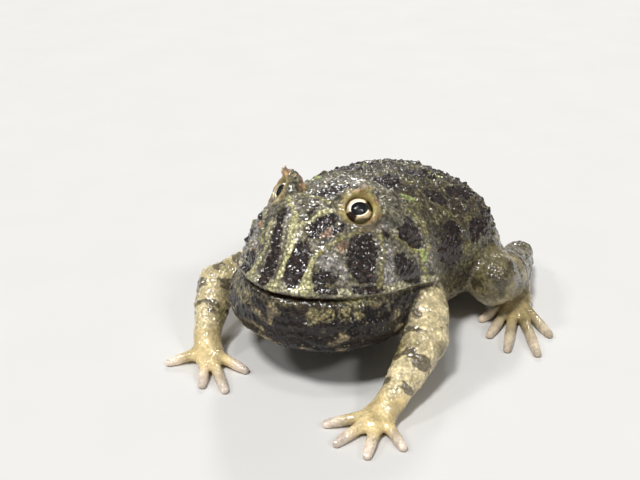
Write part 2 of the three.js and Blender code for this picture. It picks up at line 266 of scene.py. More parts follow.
def lower_jaw(q):
    forward, above = q[:, 1], q[:, 2]
    drop = np.maximum(-above, 0)
    along = forward / np.where(forward < 0, HEAD_BACK, HEAD_REACH - LOWER_LIP_INSET)
    plan = power_sum(q[:, 0] / (HEAD_HALF_WIDTH - LOWER_LIP_INSET), along, PLAN_POWER)
    size = np.maximum(np.hypot(plan, drop / JAW_DEPTH), 0.01)
    chin = np.sqrt(q[:, 0] ** 2 + forward**2 + drop**2) * (1 - 1 / size)
    full = smooth_min(chin, ellipsoid(q, POUCH_CENTRE, POUCH_RADII), POUCH_BLEND)
    return smooth_max(full, above - LOWER_LIP_EDGE, LIP_ROUND)


def mouth_cavity(q, below):
    """The hollow behind the lips. q is in the upper head's axes and below in the lower jaw's."""
    plan = power_sum(q[:, 0] / HEAD_HALF_WIDTH, np.maximum(q[:, 1], 0) / HEAD_REACH, PLAN_POWER)
    inside = (plan - 1) * HEAD_HALF_WIDTH + MOUTH_INSET
    roof = q[:, 2] - MOUTH_HALF_HEIGHT
    bed = -below[:, 2] - MOUTH_HALF_HEIGHT
    return np.maximum.reduce([inside, roof, bed, MOUTH_BACK - q[:, 1]])


def mirrored(points, way):
    return np.asarray(points, float) * (way, 1, 1)


def on_head(places, way=1):
    return np.array([from_head(way * a, f, u) for a, f, u in places])


def horn_field(p, way):
    root, tip = from_head(way * HORN_ROOT[0], *HORN_ROOT[1:]), from_head(way * HORN_TIP[0], *HORN_TIP[1:])
    middle = (root + tip) / 2 + np.array([0.4 * way, 0.3, 0])
    thin = np.array([1 / HORN_THICKNESS, 1, 1])
    line = curve(np.array([root, middle, tip]) * thin, 9)
    return chain(p * thin, line, spread(HORN_RADII, 9)) * 0.8


def near(p, low, high, field, margin):
    """A field worked out only in a box grown by a margin, and far away elsewhere."""
    inside = np.all((p > np.asarray(low) - margin) & (p < np.asarray(high) + margin), axis=1)
    out = np.full(len(p), FAR)
    if inside.any():
        out[inside] = field(p[inside])
    return out


def with_lids(body, p, side):
    """The mound of an eye, its lids, its horn and the opening for the ball."""
    way = SIDES[side]
    centre, axis = EYES[side], eye_axis(way)
    upward = from_head(-0.5 * way, 0, 0.87) - JAW_CORNERS

    def shaped(points, field):
        v = points - centre
        ahead = v @ axis
        away = np.linalg.norm(v - np.outer(ahead, axis), axis=1)
        mound = np.linalg.norm(v + (way * BROW_INWARDS, 0, 0), axis=1) - BROW_RADIUS
        out = smooth_min(field, mound, BROW_BLEND)
        out = smooth_min(out, horn_field(points, way), 3)
        swelling = RIM_SWELLING * np.clip(v @ upward / RIM_RADIUS, 0, 1)
        rim = np.hypot(away - RIM_RADIUS - swelling, ahead - RIM_AHEAD) - RIM_THICKNESS - swelling
        out = smooth_min(out, rim, 1.6)
        opening = away - (RIM_RADIUS - RIM_THICKNESS) - OPENING_FLARE * (ahead - RIM_AHEAD)
        opening = np.maximum(opening, 1 - ahead)
        out = smooth_max(out, -opening, 0.6)
        return smooth_max(out, EYE_RADIUS + SOCKET_GAP - np.linalg.norm(v, axis=1), 0.2)

    inside = np.linalg.norm(p - centre, axis=1) < LID_REACH
    out = body.copy()
    if inside.any():
        out[inside] = shaped(p[inside], body[inside])
    return out


def head_field(p):
    q, below = to_head(p), to_head(p, JAW_PITCH)
    upper = skull(q)
    for way in SIDES.values():
        fold = curve(on_head(CHEEK_FOLD, way), 9)
        radii = [CHEEK_FOLD_RADIUS] * len(fold)
        ridge = near(p, fold.min(0), fold.max(0), lambda x: chain(x, fold, radii), 8)
        upper = smooth_min(upper, ridge, 2.5)
        mound, slot = (from_head(way * place[0], *place[1:]) for place in (NOSTRIL_MOUND, NOSTRIL_PLACE))
        upper = smooth_min(upper, np.linalg.norm(p - mound, axis=1) - NOSTRIL_MOUND_RADIUS, 1.5)
        upper = smooth_max(upper, -near(p, slot, slot, lambda x: ellipsoid(x, slot, NOSTRIL_RADII), 4), 0.8)
    return np.minimum(upper, lower_jaw(below)), mouth_cavity(q, below)


def trunk_field(p):
    forms = [ellipsoid(p, np.array(at), np.array(radii)) for at, radii in TRUNK_FORMS]
    return smooth_min(smooth_min(forms[0], forms[1], TRUNK_BLEND), forms[2], TRUNK_BLEND)


# Limb landmarks, the same as the CAD's. The arms differ, and the legs are mirror images.
ARMS = {
    "left": {
        "shoulder": (23, -36, 19),
        "elbow": (35, -53, 14),
        "wrist": (35, -74, 6.5),
        "palm": (33.5, -79.5, 3),
        "fingers": [(21.4, -88.5), (28.2, -94.2), (37.8, -94.4), (44.4, -86.5)],
    },
    "right": {
        "shoulder": (-23, -36, 18),
        "elbow": (-38.5, -59.5, 15.5),
        "wrist": (-32, -74, 7),
        "palm": (-28.5, -78.5, 3),
        "fingers": [(-14, -78.8), (-13.2, -90.2), (-20.6, -91.6), (-37, -87.5)],
    },
}
LEG = {
    "hip": (11, 12, 17),
    "knee": (39, -12, 17),
    "ankle": (35, 23, 8),
    "tarsus": (40, 9, 4.6),
    "pad": (43, 1, 3),
}
TOES = [(37, -14), (43, -22), (51, -27), (60, -24.5), (59.5, -12)]
UPPER_ARM_RADII = (8, 6.8, 5.6)
FOREARM_RADII = (5.4, 5.9, 5.2, 4.0)
PALM_RADII = (3.8, 5.0, 4.2)
FINGER_RADII = (2.2, 1.75, 1.9, 1.5, 1.6, 1.25)
THIGH_RADII = (12.5, 11, 7.8)
SHANK_RADII = (7.4, 8, 6.2, 4.8)
TARSUS_RADII = (4.8, 4, 4)
SOLE_RADII = (4.2, 5.6, 4.4)
TOE_RADII = (2.2, 1.8, 1.95, 1.55, 1.7, 1.3)
PALM_FLATNESS = 0.62
SOLE_FLATNESS = 0.55
KNUCKLES_Z = 3
SHANK_DROP = 2.5
DIGIT_SEAT = 0.82  # a digit's centre above the floor, as a share of its radius
WEB_SHARE = 0.5
WEB_NOTCH = 0.22
WEB_THICKNESS = 0.9


def lerp(a, b, t):
    return np.asarray(a, float) + (np.asarray(b, float) - np.asarray(a, float)) * t


class Limb:
    """A smooth run of round sections, which may be pressed flat."""

    def __init__(self, points, radii, count=10, flat=1.0):
        self.line = curve(points, count)
        self.radii = spread(radii, count)
        self.flat = flat
        grown = self.radii[:, None]
        self.low, self.high = (self.line - grown).min(0), (self.line + grown).max(0)

    def field(self, p, shares=False):
        squeeze = np.array([1, 1, 1 / self.flat])
        return chain(p * squeeze, self.line * squeeze, self.radii, shares)

    def near(self, p, margin=6):
        return near(p, self.low, self.high, self.field, margin)


def digit(root, tip, radii):
    """A finger or toe that lies on the floor, a little bent at its joints."""
    root, tip = np.array(root, float), np.array([*tip, 0.0])
    heights = [root[2] - 0.4, 2.3, radii[-1] * DIGIT_SEAT]
    points = [lerp(root, tip, t) for t in (0, 0.5, 1)]
    for point, height in zip(points, heights):
        point[2] = height
    return Limb(points, radii, 9)


def arm_limbs(side):
    way, a = SIDES[side], ARMS[side]
    deltoid = lerp(a["shoulder"], a["elbow"], 0.5) + (1.5 * way, 0, 1)
    heel = lerp(a["wrist"], a["palm"], 0.2)
    knuckles = lerp(a["palm"], (*lerp(a["fingers"][1], a["fingers"][2], 0.5), 0), 0.25)
    knuckles[2] = KNUCKLES_Z
    return {
        "upper": Limb([a["shoulder"], deltoid, a["elbow"]], UPPER_ARM_RADII),
        "fore": Limb([a["elbow"], lerp(a["elbow"], a["wrist"], 0.5), a["wrist"]], FOREARM_RADII),
        "palm": Limb([heel, a["palm"], knuckles], PALM_RADII, flat=PALM_FLATNESS),
        "digits": [digit(a["palm"], tip, FINGER_RADII) for tip in a["fingers"]],
        "webs": [],
    }


def leg_limbs(side):
    way = SIDES[side]
    hip, knee, ankle, tarsus, pad = (mirrored(place, way) for place in LEG.values())
    toes = [np.array(t) * (way, 1) for t in TOES]
    under_knee = knee - (0, 0, SHANK_DROP)
    calf = lerp(under_knee, ankle, 0.5) + (1.5 * way, 0, 0)
    toe_roots = lerp(pad, (*toes[2], 0), 0.28)
    toe_roots[2] = KNUCKLES_Z
    webs = []
    for a, b in zip(toes, toes[1:]):
        edge_a, edge_b = lerp(pad[:2], a, WEB_SHARE), lerp(pad[:2], b, WEB_SHARE)
        webs.append([pad[:2], edge_a, lerp(lerp(edge_a, edge_b, 0.5), pad[:2], WEB_NOTCH), edge_b])
    return {
        "upper": Limb([hip, lerp(hip, knee, 0.5), knee], THIGH_RADII),
        "fore": Limb([under_knee, calf, ankle], SHANK_RADII),
        "heel": Limb([ankle, lerp(ankle, tarsus, 0.5), tarsus], TARSUS_RADII),
        "palm": Limb([tarsus, pad, toe_roots], SOLE_RADII, flat=SOLE_FLATNESS),
        "digits": [digit(pad, tip, TOE_RADII) for tip in toes],
        "webs": webs,
    }


def web_field(p, outline):
    """A thin plate between two toes: two triangles that share the line from the root to the notch."""
    root, a, notch, b = outline
    flat = np.full(len(p), FAR)
    for corners in ((root, a, notch), (root, notch, b)):
        turn = np.sign(np.cross(corners[1] - corners[0], corners[2] - corners[0]))
        sides = []
        for s, e in zip(corners, (*corners[1:], corners[0])):
            out = np.array([e[1] - s[1], s[0] - e[0]]) * turn
            sides.append((p[:, :2] - s) @ out / np.linalg.norm(out))
        flat = np.minimum(flat, np.maximum.reduce(sides))
    return smooth_max(flat, np.abs(p[:, 2] - WEB_THICKNESS) - WEB_THICKNESS / 2, 0.6)


def limb_field(p, parts):
    hand = parts["palm"].near(p)
    if "heel" in parts:
        hand = smooth_min(hand, parts["heel"].near(p), 3)
    digits = np.minimum.reduce([d.near(p) for d in parts["digits"]])
    hand = smooth_min(hand, digits, 1.6)
    for outline in parts["webs"]:
        low, high = (*np.min(outline, 0), 0), (*np.max(outline, 0), 3)
        hand = smooth_min(hand, near(p, low, high, lambda x: web_field(x, outline), 3), 1.2)
    limb = smooth_min(parts["fore"].near(p), hand, 2.5)
    return smooth_min(limb, parts["upper"].near(p), 2 if "heel" in parts else 3)


EYES = {side: eye_centre(side) for side in SIDES}
LIMB_KINDS = {"arm": arm_limbs, "leg": leg_limbs}
LIMBS = {f"{kind}_{side}": make(side) for kind, make in LIMB_KINDS.items() for side in SIDES}
LIMB_BLEND = {"arm": 5, "leg": 3}
FLOOR_ROUND = 0.6  # roundness of the edge where the body meets the floor


def frog_field(p):
    jaws, cavity = head_field(p)
    body = smooth_min(jaws, trunk_field(p), TRUNK_BLEND)
    body = smooth_max(body, -cavity, 1)
    for side in SIDES:
        body = with_lids(body, p, side)
    for name, parts in LIMBS.items():
        body = smooth_min(body, limb_field(p, parts), LIMB_BLEND[name[:3]])
    return smooth_max(body, -p[:, 2], FLOOR_ROUND)


def in_chunks(field, p, size=400_000):
    return np.concatenate([field(p[i : i + size]) for i in range(0, len(p), size)])


# The skin's mesh: one vertex in each small cell that the surface crosses
CELL = 0.38
COARSE = 5  # small cells along a coarse one's edge
GRID_MARGIN = 4
GRID_FAR = 9  # the field's value in coarse cells away from the surface
CORNERS = np.array(list(itertools.product((0, 1), repeat=3)))


def sampled_grid():
    """The field on a fine grid, worked out only near the surface."""
    low = np.array(cad_low) / MM - GRID_MARGIN
    size = np.array(cad_high) / MM + GRID_MARGIN - low
    blocks = np.ceil(size / (CELL * COARSE)).astype(int)
    step = CELL * COARSE
    centres = (np.argwhere(np.ones(blocks, bool)) + 0.5) * step + low
    depth = in_chunks(frog_field, centres).reshape(blocks)
    close = np.abs(depth) < step * 1.5
    values = np.where(depth < 0, -GRID_FAR, GRID_FAR).astype(np.float32)
    for axis in range(3):
        values = np.repeat(values, COARSE, axis)
    offsets = np.argwhere(np.ones((COARSE,) * 3, bool))
    cells = (np.argwhere(close)[:, None] * COARSE + offsets).reshape(-1, 3)
    values[tuple(cells.T)] = in_chunks(frog_field, cells * CELL + low)
    return values, low


def net_of(values, low):
    """Quads and vertices of the surface where the field changes sign."""
    inside = values < 0
    shape = np.array(values.shape) - 1
    views = [inside[tuple(slice(c, c + n) for c, n in zip(corner, shape))] for corner in CORNERS]
    count = np.sum(views, axis=0, dtype=np.int8)
    crossed = (count > 0) & (count < 8)
    cells = np.argwhere(crossed)
    number = np.full(shape, -1)
    number[crossed] = np.arange(len(cells))
    total, hits = np.zeros((len(cells), 3)), np.zeros(len(cells))
    for a, b in itertools.combinations(range(8), 2):
        if np.abs(CORNERS[a] - CORNERS[b]).sum() != 1:
            continue
        va, vb = (values[tuple((cells + CORNERS[c]).T)] for c in (a, b))
        crossing = (va < 0) != (vb < 0)
        t = np.where(crossing, va / np.where(crossing, va - vb, 1), 0)
        total += crossing[:, None] * (CORNERS[a] + t[:, None] * (CORNERS[b] - CORNERS[a]))
        hits += crossing
    vertices = (cells + total / hits[:, None]) * CELL + low
    quads = []
    for axis in range(3):
        u, v = np.eye(3, dtype=int)[[(axis + 1) % 3, (axis + 2) % 3]]
        first = np.take(inside, range(values.shape[axis] - 1), axis)
        second = np.take(inside, range(1, values.shape[axis]), axis)
        edges = np.argwhere(first != second)
        edges = edges[np.all((edges >= u + v) & (edges < shape), axis=1)]
        ring = [number[tuple((edges - back).T)] for back in (0 * u, u, u + v, v)]
        quad = np.stack(ring, 1)
        flip = first[tuple(edges.T)]
        quad[~flip] = quad[~flip][:, ::-1]
        quads.append(quad)
    quads = np.concatenate(quads)
    return vertices, quads[(quads >= 0).all(1)]


def slope_of(p, step=0.15):
    """The field's gradient at points, from four places round each."""
    total = np.zeros_like(p)
    for way in np.array([(1, 1, 1), (1, -1, -1), (-1, 1, -1), (-1, -1, 1)]):
        total += in_chunks(frog_field, p + way * step)[:, None] * way
    return total / (4 * step)


def normals_of(vertices, quads):
    """The mesh's own outward directions, one for each vertex."""
    a, b, c, d = (vertices[quads[:, i]] for i in range(4))
    across = np.cross(c - a, d - b)
    total = np.zeros_like(vertices)
    for i in range(4):
        np.add.at(total, quads[:, i], across)
    return total / (np.linalg.norm(total, axis=1, keepdims=True) + 1e-12)


def largest_part(vertices, quads):
    """Drops loose scraps, by spreading labels from quad to quad."""
    label = np.arange(len(vertices))
    while True:
        lowest = label[quads].min(1)
        spread_to = label.copy()
        np.minimum.at(spread_to, quads.ravel(), np.repeat(lowest, 4))
        spread_to = spread_to[spread_to]
        if (spread_to == label).all():
            break
        label = spread_to
    main = label == np.bincount(label).argmax()
    order = np.cumsum(main) - 1
    kept = main[quads].all(1)
    return vertices[main], order[quads[kept]]


# Fixed random numbers, noise and warts
def hashed(cells, seed, count):
    """Numbers from 0 to 1, count of them for each whole-number cell."""
    mask = 0xFFFFFFFF
    key = (cells[:, 0] * 73856093 ^ cells[:, 1] * 19349663 ^ cells[:, 2] * 83492791) + seed * 40503 & mask
    numbers = []
    for i in range(count):
        key = (key ^ key >> 15) * 1274126177 + i & mask
        key = (key ^ key >> 13) * 1103515245 + 12345 & mask
        numbers.append((key ^ key >> 16) / mask)
    return np.stack(numbers, 1)


def noise(p, size, seed):
    """Smooth noise from -1 to 1 with features of a given size."""
    scaled = p / size
    base = np.floor(scaled).astype(np.int64)
    t = scaled - base
    t = t * t * (3 - 2 * t)
    total = np.zeros(len(p))
    for corner in CORNERS:
        weight = np.prod(np.where(corner, t, 1 - t), axis=1)
        total += weight * hashed(base + corner, seed, 1)[:, 0]
    return 2 * total - 1


def warts(p, cell, radii, share, seed):
    """Heights from 0 to 1 of round warts, at most one in each cell."""
    base = np.floor(p / cell).astype(np.int64)
    height = np.zeros(len(p))
    for step in itertools.product((-1, 0, 1), repeat=3):
        cells = base + step
        random = hashed(cells, seed, 5)
        centre = (cells + 0.1 + 0.8 * random[:, :3]) * cell
        radius = radii[0] + (radii[1] - radii[0]) * random[:, 3]
        reach = np.linalg.norm(p - centre, axis=1) / radius
        bump = np.maximum(1 - reach**2, 0) ** 1.3 * (0.5 + 0.5 * random[:, 3])
        height = np.maximum(height, np.where(random[:, 4] < share, bump, 0))
    return height


# Markings of the face, picked on the photograph: pixel across, pixel down, half-width in millimetres
MID_STRIPE = [(272.5, 288, 1.3), (274.5, 284, 1.0), (280, 272, 1.0), (285.3, 259, 1.05), (291, 243, 1.3),
              (294.5, 234, 1.3), (294, 226, 1.5), (296.5, 215.5, 1.2)]
EYE_BRANCH = [(298.7, 227.7, 0.8), (306, 224, 0.8), (317, 217, 0.8), (330, 211, 1.0)]
HORN_BRANCH = [(296.5, 215.5, 0.9), (293.5, 210.5, 0.8), (290, 204, 0.8), (289, 197, 0.9)]
SNOUT_STRIPE = [(307, 290, 2.1), (307, 279, 1.4), (310, 268, 0.9), (316, 256, 0.9)]
RIGHT_STRIPE = [(251, 278, 1.2), (253.7, 271, 0.8), (258.7, 262, 0.65), (264, 252, 0.65), (268.7, 244, 0.6),
                (270.3, 232, 0.6), (272, 222, 0.5)]
RIGHT_BRANCH = [(240.5, 262, 0.5), (249.8, 248, 0.45), (260.9, 237, 0.45), (268.7, 227, 0.45)]
BROW_EDGE = [(316, 256, 0.9), (327, 246, 0.5), (345, 236, 0.45), (361, 233, 0.45)]
BLOTCH_EDGE = [(373, 231, 0.4), (376, 233, 0.45), (381, 246, 0.5), (383, 262, 0.55), (381, 274, 0.7),
               (380, 286, 1.0)]
CHEEK_BRANCH = [(394, 237, 0.45), (405, 244.5, 0.5), (415, 252.5, 0.6), (422, 258, 0.7)]
BORDER_RIDGE = [(406.7, 210, 0.6), (415.5, 217, 0.7), (423, 227, 0.8), (425.5, 238, 0.8), (423.5, 248, 0.8),
                (422, 256, 0.9), (420.5, 264, 0.7), (424.5, 273, 0.6), (426, 281, 0.6)]
CROWN_EDGE = [(294.5, 195, 0.6), (306, 196.5, 0.6), (319.5, 199, 0.6), (333.5, 203.5, 0.7)]
NOSE_BLOTCH_RIGHT = [(263, 282, 1.9), (267, 271, 2.3), (271.5, 260, 2.1), (276, 248, 1.7), (277, 238, 1.4),
                     (279.5, 222, 1.7), (281.5, 211, 1.2)]
NOSE_BLOTCH = [(291, 280, 2.4), (295.5, 268, 3.0), (300, 256, 2.9), (303.5, 247, 2.0)]
BROW_BLOTCH = [(312, 232, 1.3), (323, 223, 1.6), (334, 218, 1.3)]
BROW_BLOTCH_LOW = [(334, 229, 1.1), (341, 227, 1.3)]
NARIS_SLIT = [(304, 221, 0.6), (310.5, 213, 0.7), (317, 205, 0.6)]
EYE_BLOTCH = [(363, 242.5, 3.6), (362, 254, 4.7), (360.5, 266.5, 3.9)]
LIP_BLOTCH = [(316, 279, 1.4), (324, 277, 1.8), (332, 277.5, 1.5)]
LIP_BLOTCH_REAR = [(358, 280, 0.9), (368, 280, 1.3), (378, 280, 1.2)]
TEMPLE_BLOTCH = [(397.5, 219, 2.2), (406.5, 231.5, 3.3), (413.5, 242.5, 2.4)]
CHEEK_BLOTCH = [(401.5, 260.5, 2.5), (406.5, 270.5, 3.5), (415, 277, 2.5)]
# a dark spot painted where the temple lies in shade, on both sides
TEMPLE_SHADE_SPOT = [(385, 235, 1.0), (386, 235.5, 1.0)]
LIP_DARK = [(317, 289, 1.1), (326, 290, 1.2), (336, 291, 1.0)]
LIP_DARK_REAR = [(357, 291, 1.2), (369, 290.5, 1.3), (381, 289.5, 1.1)]
LIME_CHEEK = [(421, 254, 0.9), (423, 259, 0.8)]
LIME_BROW = [(401, 196, 0.8), (407, 197, 1.2), (413, 199, 0.8)]
LIME_CROWN = [(312, 180.5, 1.7), (318, 178.5, 1.0)]
NOSE_RUST = [(295, 268.5, 0.8), (294, 271, 0.7)]
BROW_RUST = [(322.5, 234, 1.0), (329.5, 232, 1.2)]
LIP_RUST = [(364.5, 276.5, 0.6), (371, 276.5, 0.6)]
RIGHT_RUST = [(254, 253, 0.8), (253.5, 250, 0.7)]
EYE_RUST = [(343, 246, 1.2), (348, 246.5, 1.0)]
PALE_NOSE = [(294, 226, 1.5), (292.5, 215, 1.7), (290, 206, 1.6)]
GREY_SNOUT = [(329.5, 263, 2.4), (337.5, 273, 2.6)]

# Markings chosen in the head's axes: across, forward, above, half-width
CROWN_BLOTCH = [(0.2, 17.5, 24.6, 2.2), (1.2, 12, 25, 2.8), (2.3, 6, 25.1, 2.4)]
GREY_CHEEK = [(22.4, 14.8, 12.6, 1.6), (24.3, 16.2, 8, 1.8), (25.4, 16.6, 4.2, 1.8)]
GREY_TEMPLE = [(14.5, 20, 16.6, 1.4), (16, 16.5, 17.6, 1.6), (19, 12, 17.2, 1.8)]
LOWER_LIP_FRONT = [(11.8, 36.5, -5.5, 2.2), (15.5, 33, -5, 1.6)]
LOWER_LIP_REAR = [(18.5, 29.5, -5, 2.0), (21, 26, -5, 1.3)]

# The markings by kind, those that the face has once and those that both sides have
MARKS_ONCE = {
    "stripe": [MID_STRIPE, EYE_BRANCH, HORN_BRANCH, RIGHT_STRIPE, SNOUT_STRIPE],
    "ridge": [RIGHT_BRANCH, CROWN_EDGE],
    "blotch": [NOSE_BLOTCH_RIGHT, NOSE_BLOTCH, BROW_BLOTCH, BROW_BLOTCH_LOW, NARIS_SLIT, CROWN_BLOTCH],
    "rust": [NOSE_RUST, BROW_RUST, LIP_RUST, RIGHT_RUST],
    "lime": [LIME_CROWN],
    "grey": [PALE_NOSE],
}
MARKS_TWICE = {
    "ridge": [BROW_EDGE, BLOTCH_EDGE, CHEEK_BRANCH, BORDER_RIDGE],
    "blotch": [EYE_BLOTCH, LIP_BLOTCH, LIP_BLOTCH_REAR, TEMPLE_BLOTCH, CHEEK_BLOTCH, TEMPLE_SHADE_SPOT, LIP_DARK,
               LIP_DARK_REAR],
    "lime": [LIME_CHEEK, LIME_BROW],
    "patch": [LOWER_LIP_FRONT, LOWER_LIP_REAR],
    "rust": [EYE_RUST],
    "grey": [GREY_SNOUT, GREY_CHEEK, GREY_TEMPLE],
}

# Lime spots in the model's axes: of the right arm with half-widths, and of the back with lengths
ARM_LIME = [(-41.5, -64, 12, 1.6), (-40.2, -67, 9.5, 1.4)]
BACK_LIME = [(-9.5, -14, 3), (16.8, -32, 1.5), (-20, -22, 2.5), (12, -2, 3), (-24, 2, 3), (22, 8, 2)]
BACK_LIME_HALF_WIDTHS = (0.9, 1.3, 0.8)

# Rows of blotches along the back: how far from the middle, where the first lies, and the spacing
BACK_ROWS = [(8.5, -25, 16.5), (21, -19, 15.5), (31, -27, 14.5)]
BACK_ROW_PAIRS = 4
BACK_SEED = 11
ABOVE_BACK = 90
BACK_HEIGHT = 20  # looked near for the skin where a blotch lies beside the body
OFF_MARKS = 20.0  # the distance given to a vertex before any marking is near

RAY_START = 180  # from the camera, before the frog
RAY_STEPS = 250


class Surface:
    """The finished shape before its relief, for putting marks where they lie on the skin."""

    def __init__(self, vertices, quads):
        self.tree = BVHTree.FromPolygons(vertices.tolist(), quads.tolist())

    def nearest(self, point):
        return np.array(self.tree.find_nearest(Vector(point))[0])

    def mark(self, p, line):
        """Signed distance to a marking whose points are set down on the skin."""
        line = np.asarray(line, float)
        fine = curve(line, 4 * len(line))
        points = np.array([self.nearest(x) for x in fine[:, :3]])
        low, high = points.min(0), points.max(0)
        return near(p, low, high, lambda x: chain(x, points, fine[:, 3]), 6)


def warped(p, size, amount, seed):
    """The points moved a little by noise, which makes outlines wander."""
    return p + amount * np.column_stack([noise(p, size, seed + i) for i in range(3)])


def under_pixels(pixels):
    """Where the camera's rays through pixels of the picture meet the plain head and trunk."""
    right, up, back = camera_axes()
    focal = PICTURE_WIDTH * LENS / SENSOR_WIDTH
    across, down = (pixels - (PICTURE_WIDTH / 2, PICTURE_HEIGHT / 2)).T
    rays = np.outer(across, right) - np.outer(down, up) - focal * back
    rays /= np.linalg.norm(rays, axis=1, keepdims=True)
    places = CAMERA_TARGET + back * CAMERA_DISTANCE + rays * RAY_START
    for _ in range(RAY_STEPS):
        depth = smooth_min(skull(to_head(places)), trunk_field(places), TRUNK_BLEND)
        places = places + rays * depth[:, None] / 2
    return places


def head_line(rows, way=1):
    """Points and half-widths of a line of pixels, or of places on the head, mirrored where way is -1."""
    rows = np.asarray(rows, float)
    if rows.shape[1] == 3:
        points = mirrored(under_pixels(rows[:, :2]), way)
    else:
        points = on_head(rows[:, :3], way)
    return np.column_stack([points, rows[:, -1]])


def back_blotches(rng):
    """Dark blotches of the back and flanks, in loose pairs: middle, length, turn, bend and half-widths."""
    out = []
    for across, first, spacing in BACK_ROWS:
        for i, way in itertools.product(range(BACK_ROW_PAIRS), SIDES.values()):
            y = first + spacing * i + rng.uniform(-1.8, 1.8)
            x = way * (across + rng.uniform(-1.4, 1.4)) * (1 - 0.006 * max(y, 0))
            shape = rng.uniform(3.5, 8.5), way * rng.uniform(-0.3, 1.2), rng.uniform(-0.9, 0.9)
            out.append((x, y, *shape, rng.uniform(2.2, 4.3, 3)))
    return out


def back_line(surface, x, y, length, turn, bend, half_widths):
    """A blotch's points, dropped on to the back from above."""
    points = []
    for t, half_width in zip((-0.5, 0, 0.5), half_widths):
        px = x + math.sin(turn + bend * t) * length * t
        py = y + math.cos(turn + bend * t) * length * t
        hit = surface.tree.ray_cast(Vector((px, py, ABOVE_BACK)), Vector((0, 0, -1)))[0]
        if hit is None:
            hit = surface.tree.find_nearest(Vector((px, py, BACK_HEIGHT)))[0]
        points.append((*hit, half_width))
    return points


class Marks:
    """Signed distances of every vertex to the markings, in millimetres."""

    NAMES = ("stripe", "ridge", "blotch", "lime", "bar", "patch")

    def __init__(self, p, surface):
        for name in (*self.NAMES, "rust", "grey"):
            setattr(self, name, np.full(len(p), OFF_MARKS))
        p = warped(warped(p, 3.5, 0.6, 30), 1.2, 0.18, 40)
        for name, lines in MARKS_ONCE.items():
            self.add(name, p, surface, [head_line(line) for line in lines])
        for name, lines in MARKS_TWICE.items():
            self.add(name, p, surface, [head_line(line, way) for line in lines for way in SIDES.values()])
        self.add("lime", p, surface, [ARM_LIME])
        self.add_back(p, surface)

    def add(self, name, p, surface, lines):
        for line in lines:
            setattr(self, name, np.minimum(getattr(self, name), surface.mark(p, line)))

    def add_back(self, p, surface):
        rng = np.random.default_rng(BACK_SEED)
        for blotch in back_blotches(rng):
            self.add("blotch", p, surface, [back_line(surface, *blotch)])
        for x, y, length in BACK_LIME:
            line = back_line(surface, x, y, length, 0.8, 0.4, BACK_LIME_HALF_WIDTHS)
            self.add("lime", p, surface, [line])


# Colours, linear
def colour(*rgb):
    return np.array(rgb, float)


OLIVE_DARK = colour(0.075, 0.056, 0.028)
OLIVE = colour(0.19, 0.165, 0.07)
GREY_SKIN = colour(0.46, 0.42, 0.38)
RUST = colour(0.44, 0.25, 0.14)
FACE_OLIVE = colour(0.24, 0.215, 0.11)
BACK_BROWN = colour(0.065, 0.042, 0.028)
# the lower jaw's dark brown skin, made darker still with painted shade under the head
THROAT_TONE_AND_SHADE = colour(0.014, 0.008, 0.006)
THROAT_PALE = colour(0.37, 0.29, 0.16)
BELLY = colour(0.60, 0.52, 0.36)
LIMB_CREAM = colour(0.96, 0.80, 0.46)
LIMB_OLIVE = colour(0.34, 0.28, 0.12)
LEG_OLIVE = colour(0.17, 0.14, 0.06)
HAND_YELLOW = colour(0.92, 0.70, 0.32)
DIGIT_PALE = colour(1.0, 0.84, 0.68)
LID = colour(0.54, 0.44, 0.15)
LID_RUST = colour(0.50, 0.24, 0.10)
# painted shade on the lower lid
LID_UNDER_SHADE = colour(0.11, 0.075, 0.055)
HORN_RUST = colour(0.72, 0.37, 0.20)
HORN_PALE = colour(0.68, 0.58, 0.50)
LIP_OLIVE = colour(0.60, 0.55, 0.35)
LIP_INNER = colour(0.40, 0.20, 0.12)
LINING = colour(0.36, 0.16, 0.13)


def paint(base, over, share):
    return base + (over - base) * np.clip(share, 0, 1)[:, None]


# Dark bars across the limbs: which part, millimetres from bar to bar, and the first one's share of the length
LIMB_BARS = [("upper", 9.5, 0.28), ("fore", 8.5, 0.1)]
BAR_HALF_WIDTH = 1.6


def places_on(parts, p):
    """Shares of limb skin, hand skin and digit tips near one limb, and millimetres inside a dark bar."""
    limb_share, hand, tip = (np.zeros(len(p)) for _ in range(3))
    bar = np.full(len(p), OFF_MARKS)
    for key, spacing, start in LIMB_BARS:
        limb = parts[key]
        distance, share = limb.field(p, shares=True)
        length = np.linalg.norm(np.diff(limb.line, axis=0), axis=1).sum()
        on = smooth_step(-distance, -3.0, -0.2)
        limb_share = np.maximum(limb_share, on * smooth_step(share, 0.12, 0.35) if key == "upper" else on)
        phase = (share - start) * length / spacing
        wave = np.abs(phase - np.round(phase)) * spacing - BAR_HALF_WIDTH
        bar = np.where(on > 0.3, np.minimum(bar, wave), bar)
    hand = np.maximum(hand, smooth_step(-parts["palm"].field(p), -3.5, -0.5))
    if "heel" in parts:
        limb_share = np.maximum(limb_share, smooth_step(-parts["heel"].field(p), -3, -0.2))
    for d in parts["digits"]:
        distance, share = d.field(p, shares=True)
        on = smooth_step(-distance, -1.5, -0.3)
        hand = np.maximum(hand, on)
        tip = np.maximum(tip, on * smooth_step(share, 0.45, 0.95))
    return np.stack([np.maximum(limb_share, hand), hand, tip, -bar])


def limb_places(p):
    """The same for every vertex, with zero shares away from the limbs."""
    best = np.zeros((4, len(p)))
    best[3] = -OFF_MARKS
    for parts in LIMBS.values():
        whole = [parts["upper"], parts["fore"], parts["palm"], *parts["digits"]]
        low = np.min([limb.low for limb in whole], 0) - 4
        high = np.max([limb.high for limb in whole], 0) + 4
        close = np.all((p > low) & (p < high), axis=1)
        best[:, close] = np.maximum(best[:, close], places_on(parts, p[close]))
    return best[0], best[1], best[2], -best[3]


BIG_WARTS = {"cell": 6.0, "radii": (1.5, 3.0), "share": 0.55, "seed": 1}
MIDDLE_WARTS = {"cell": 2.6, "radii": (0.8, 1.5), "share": 0.6, "seed": 2}
SMALL_WARTS = {"cell": 1.35, "radii": (0.5, 0.85), "share": 0.8, "seed": 3}
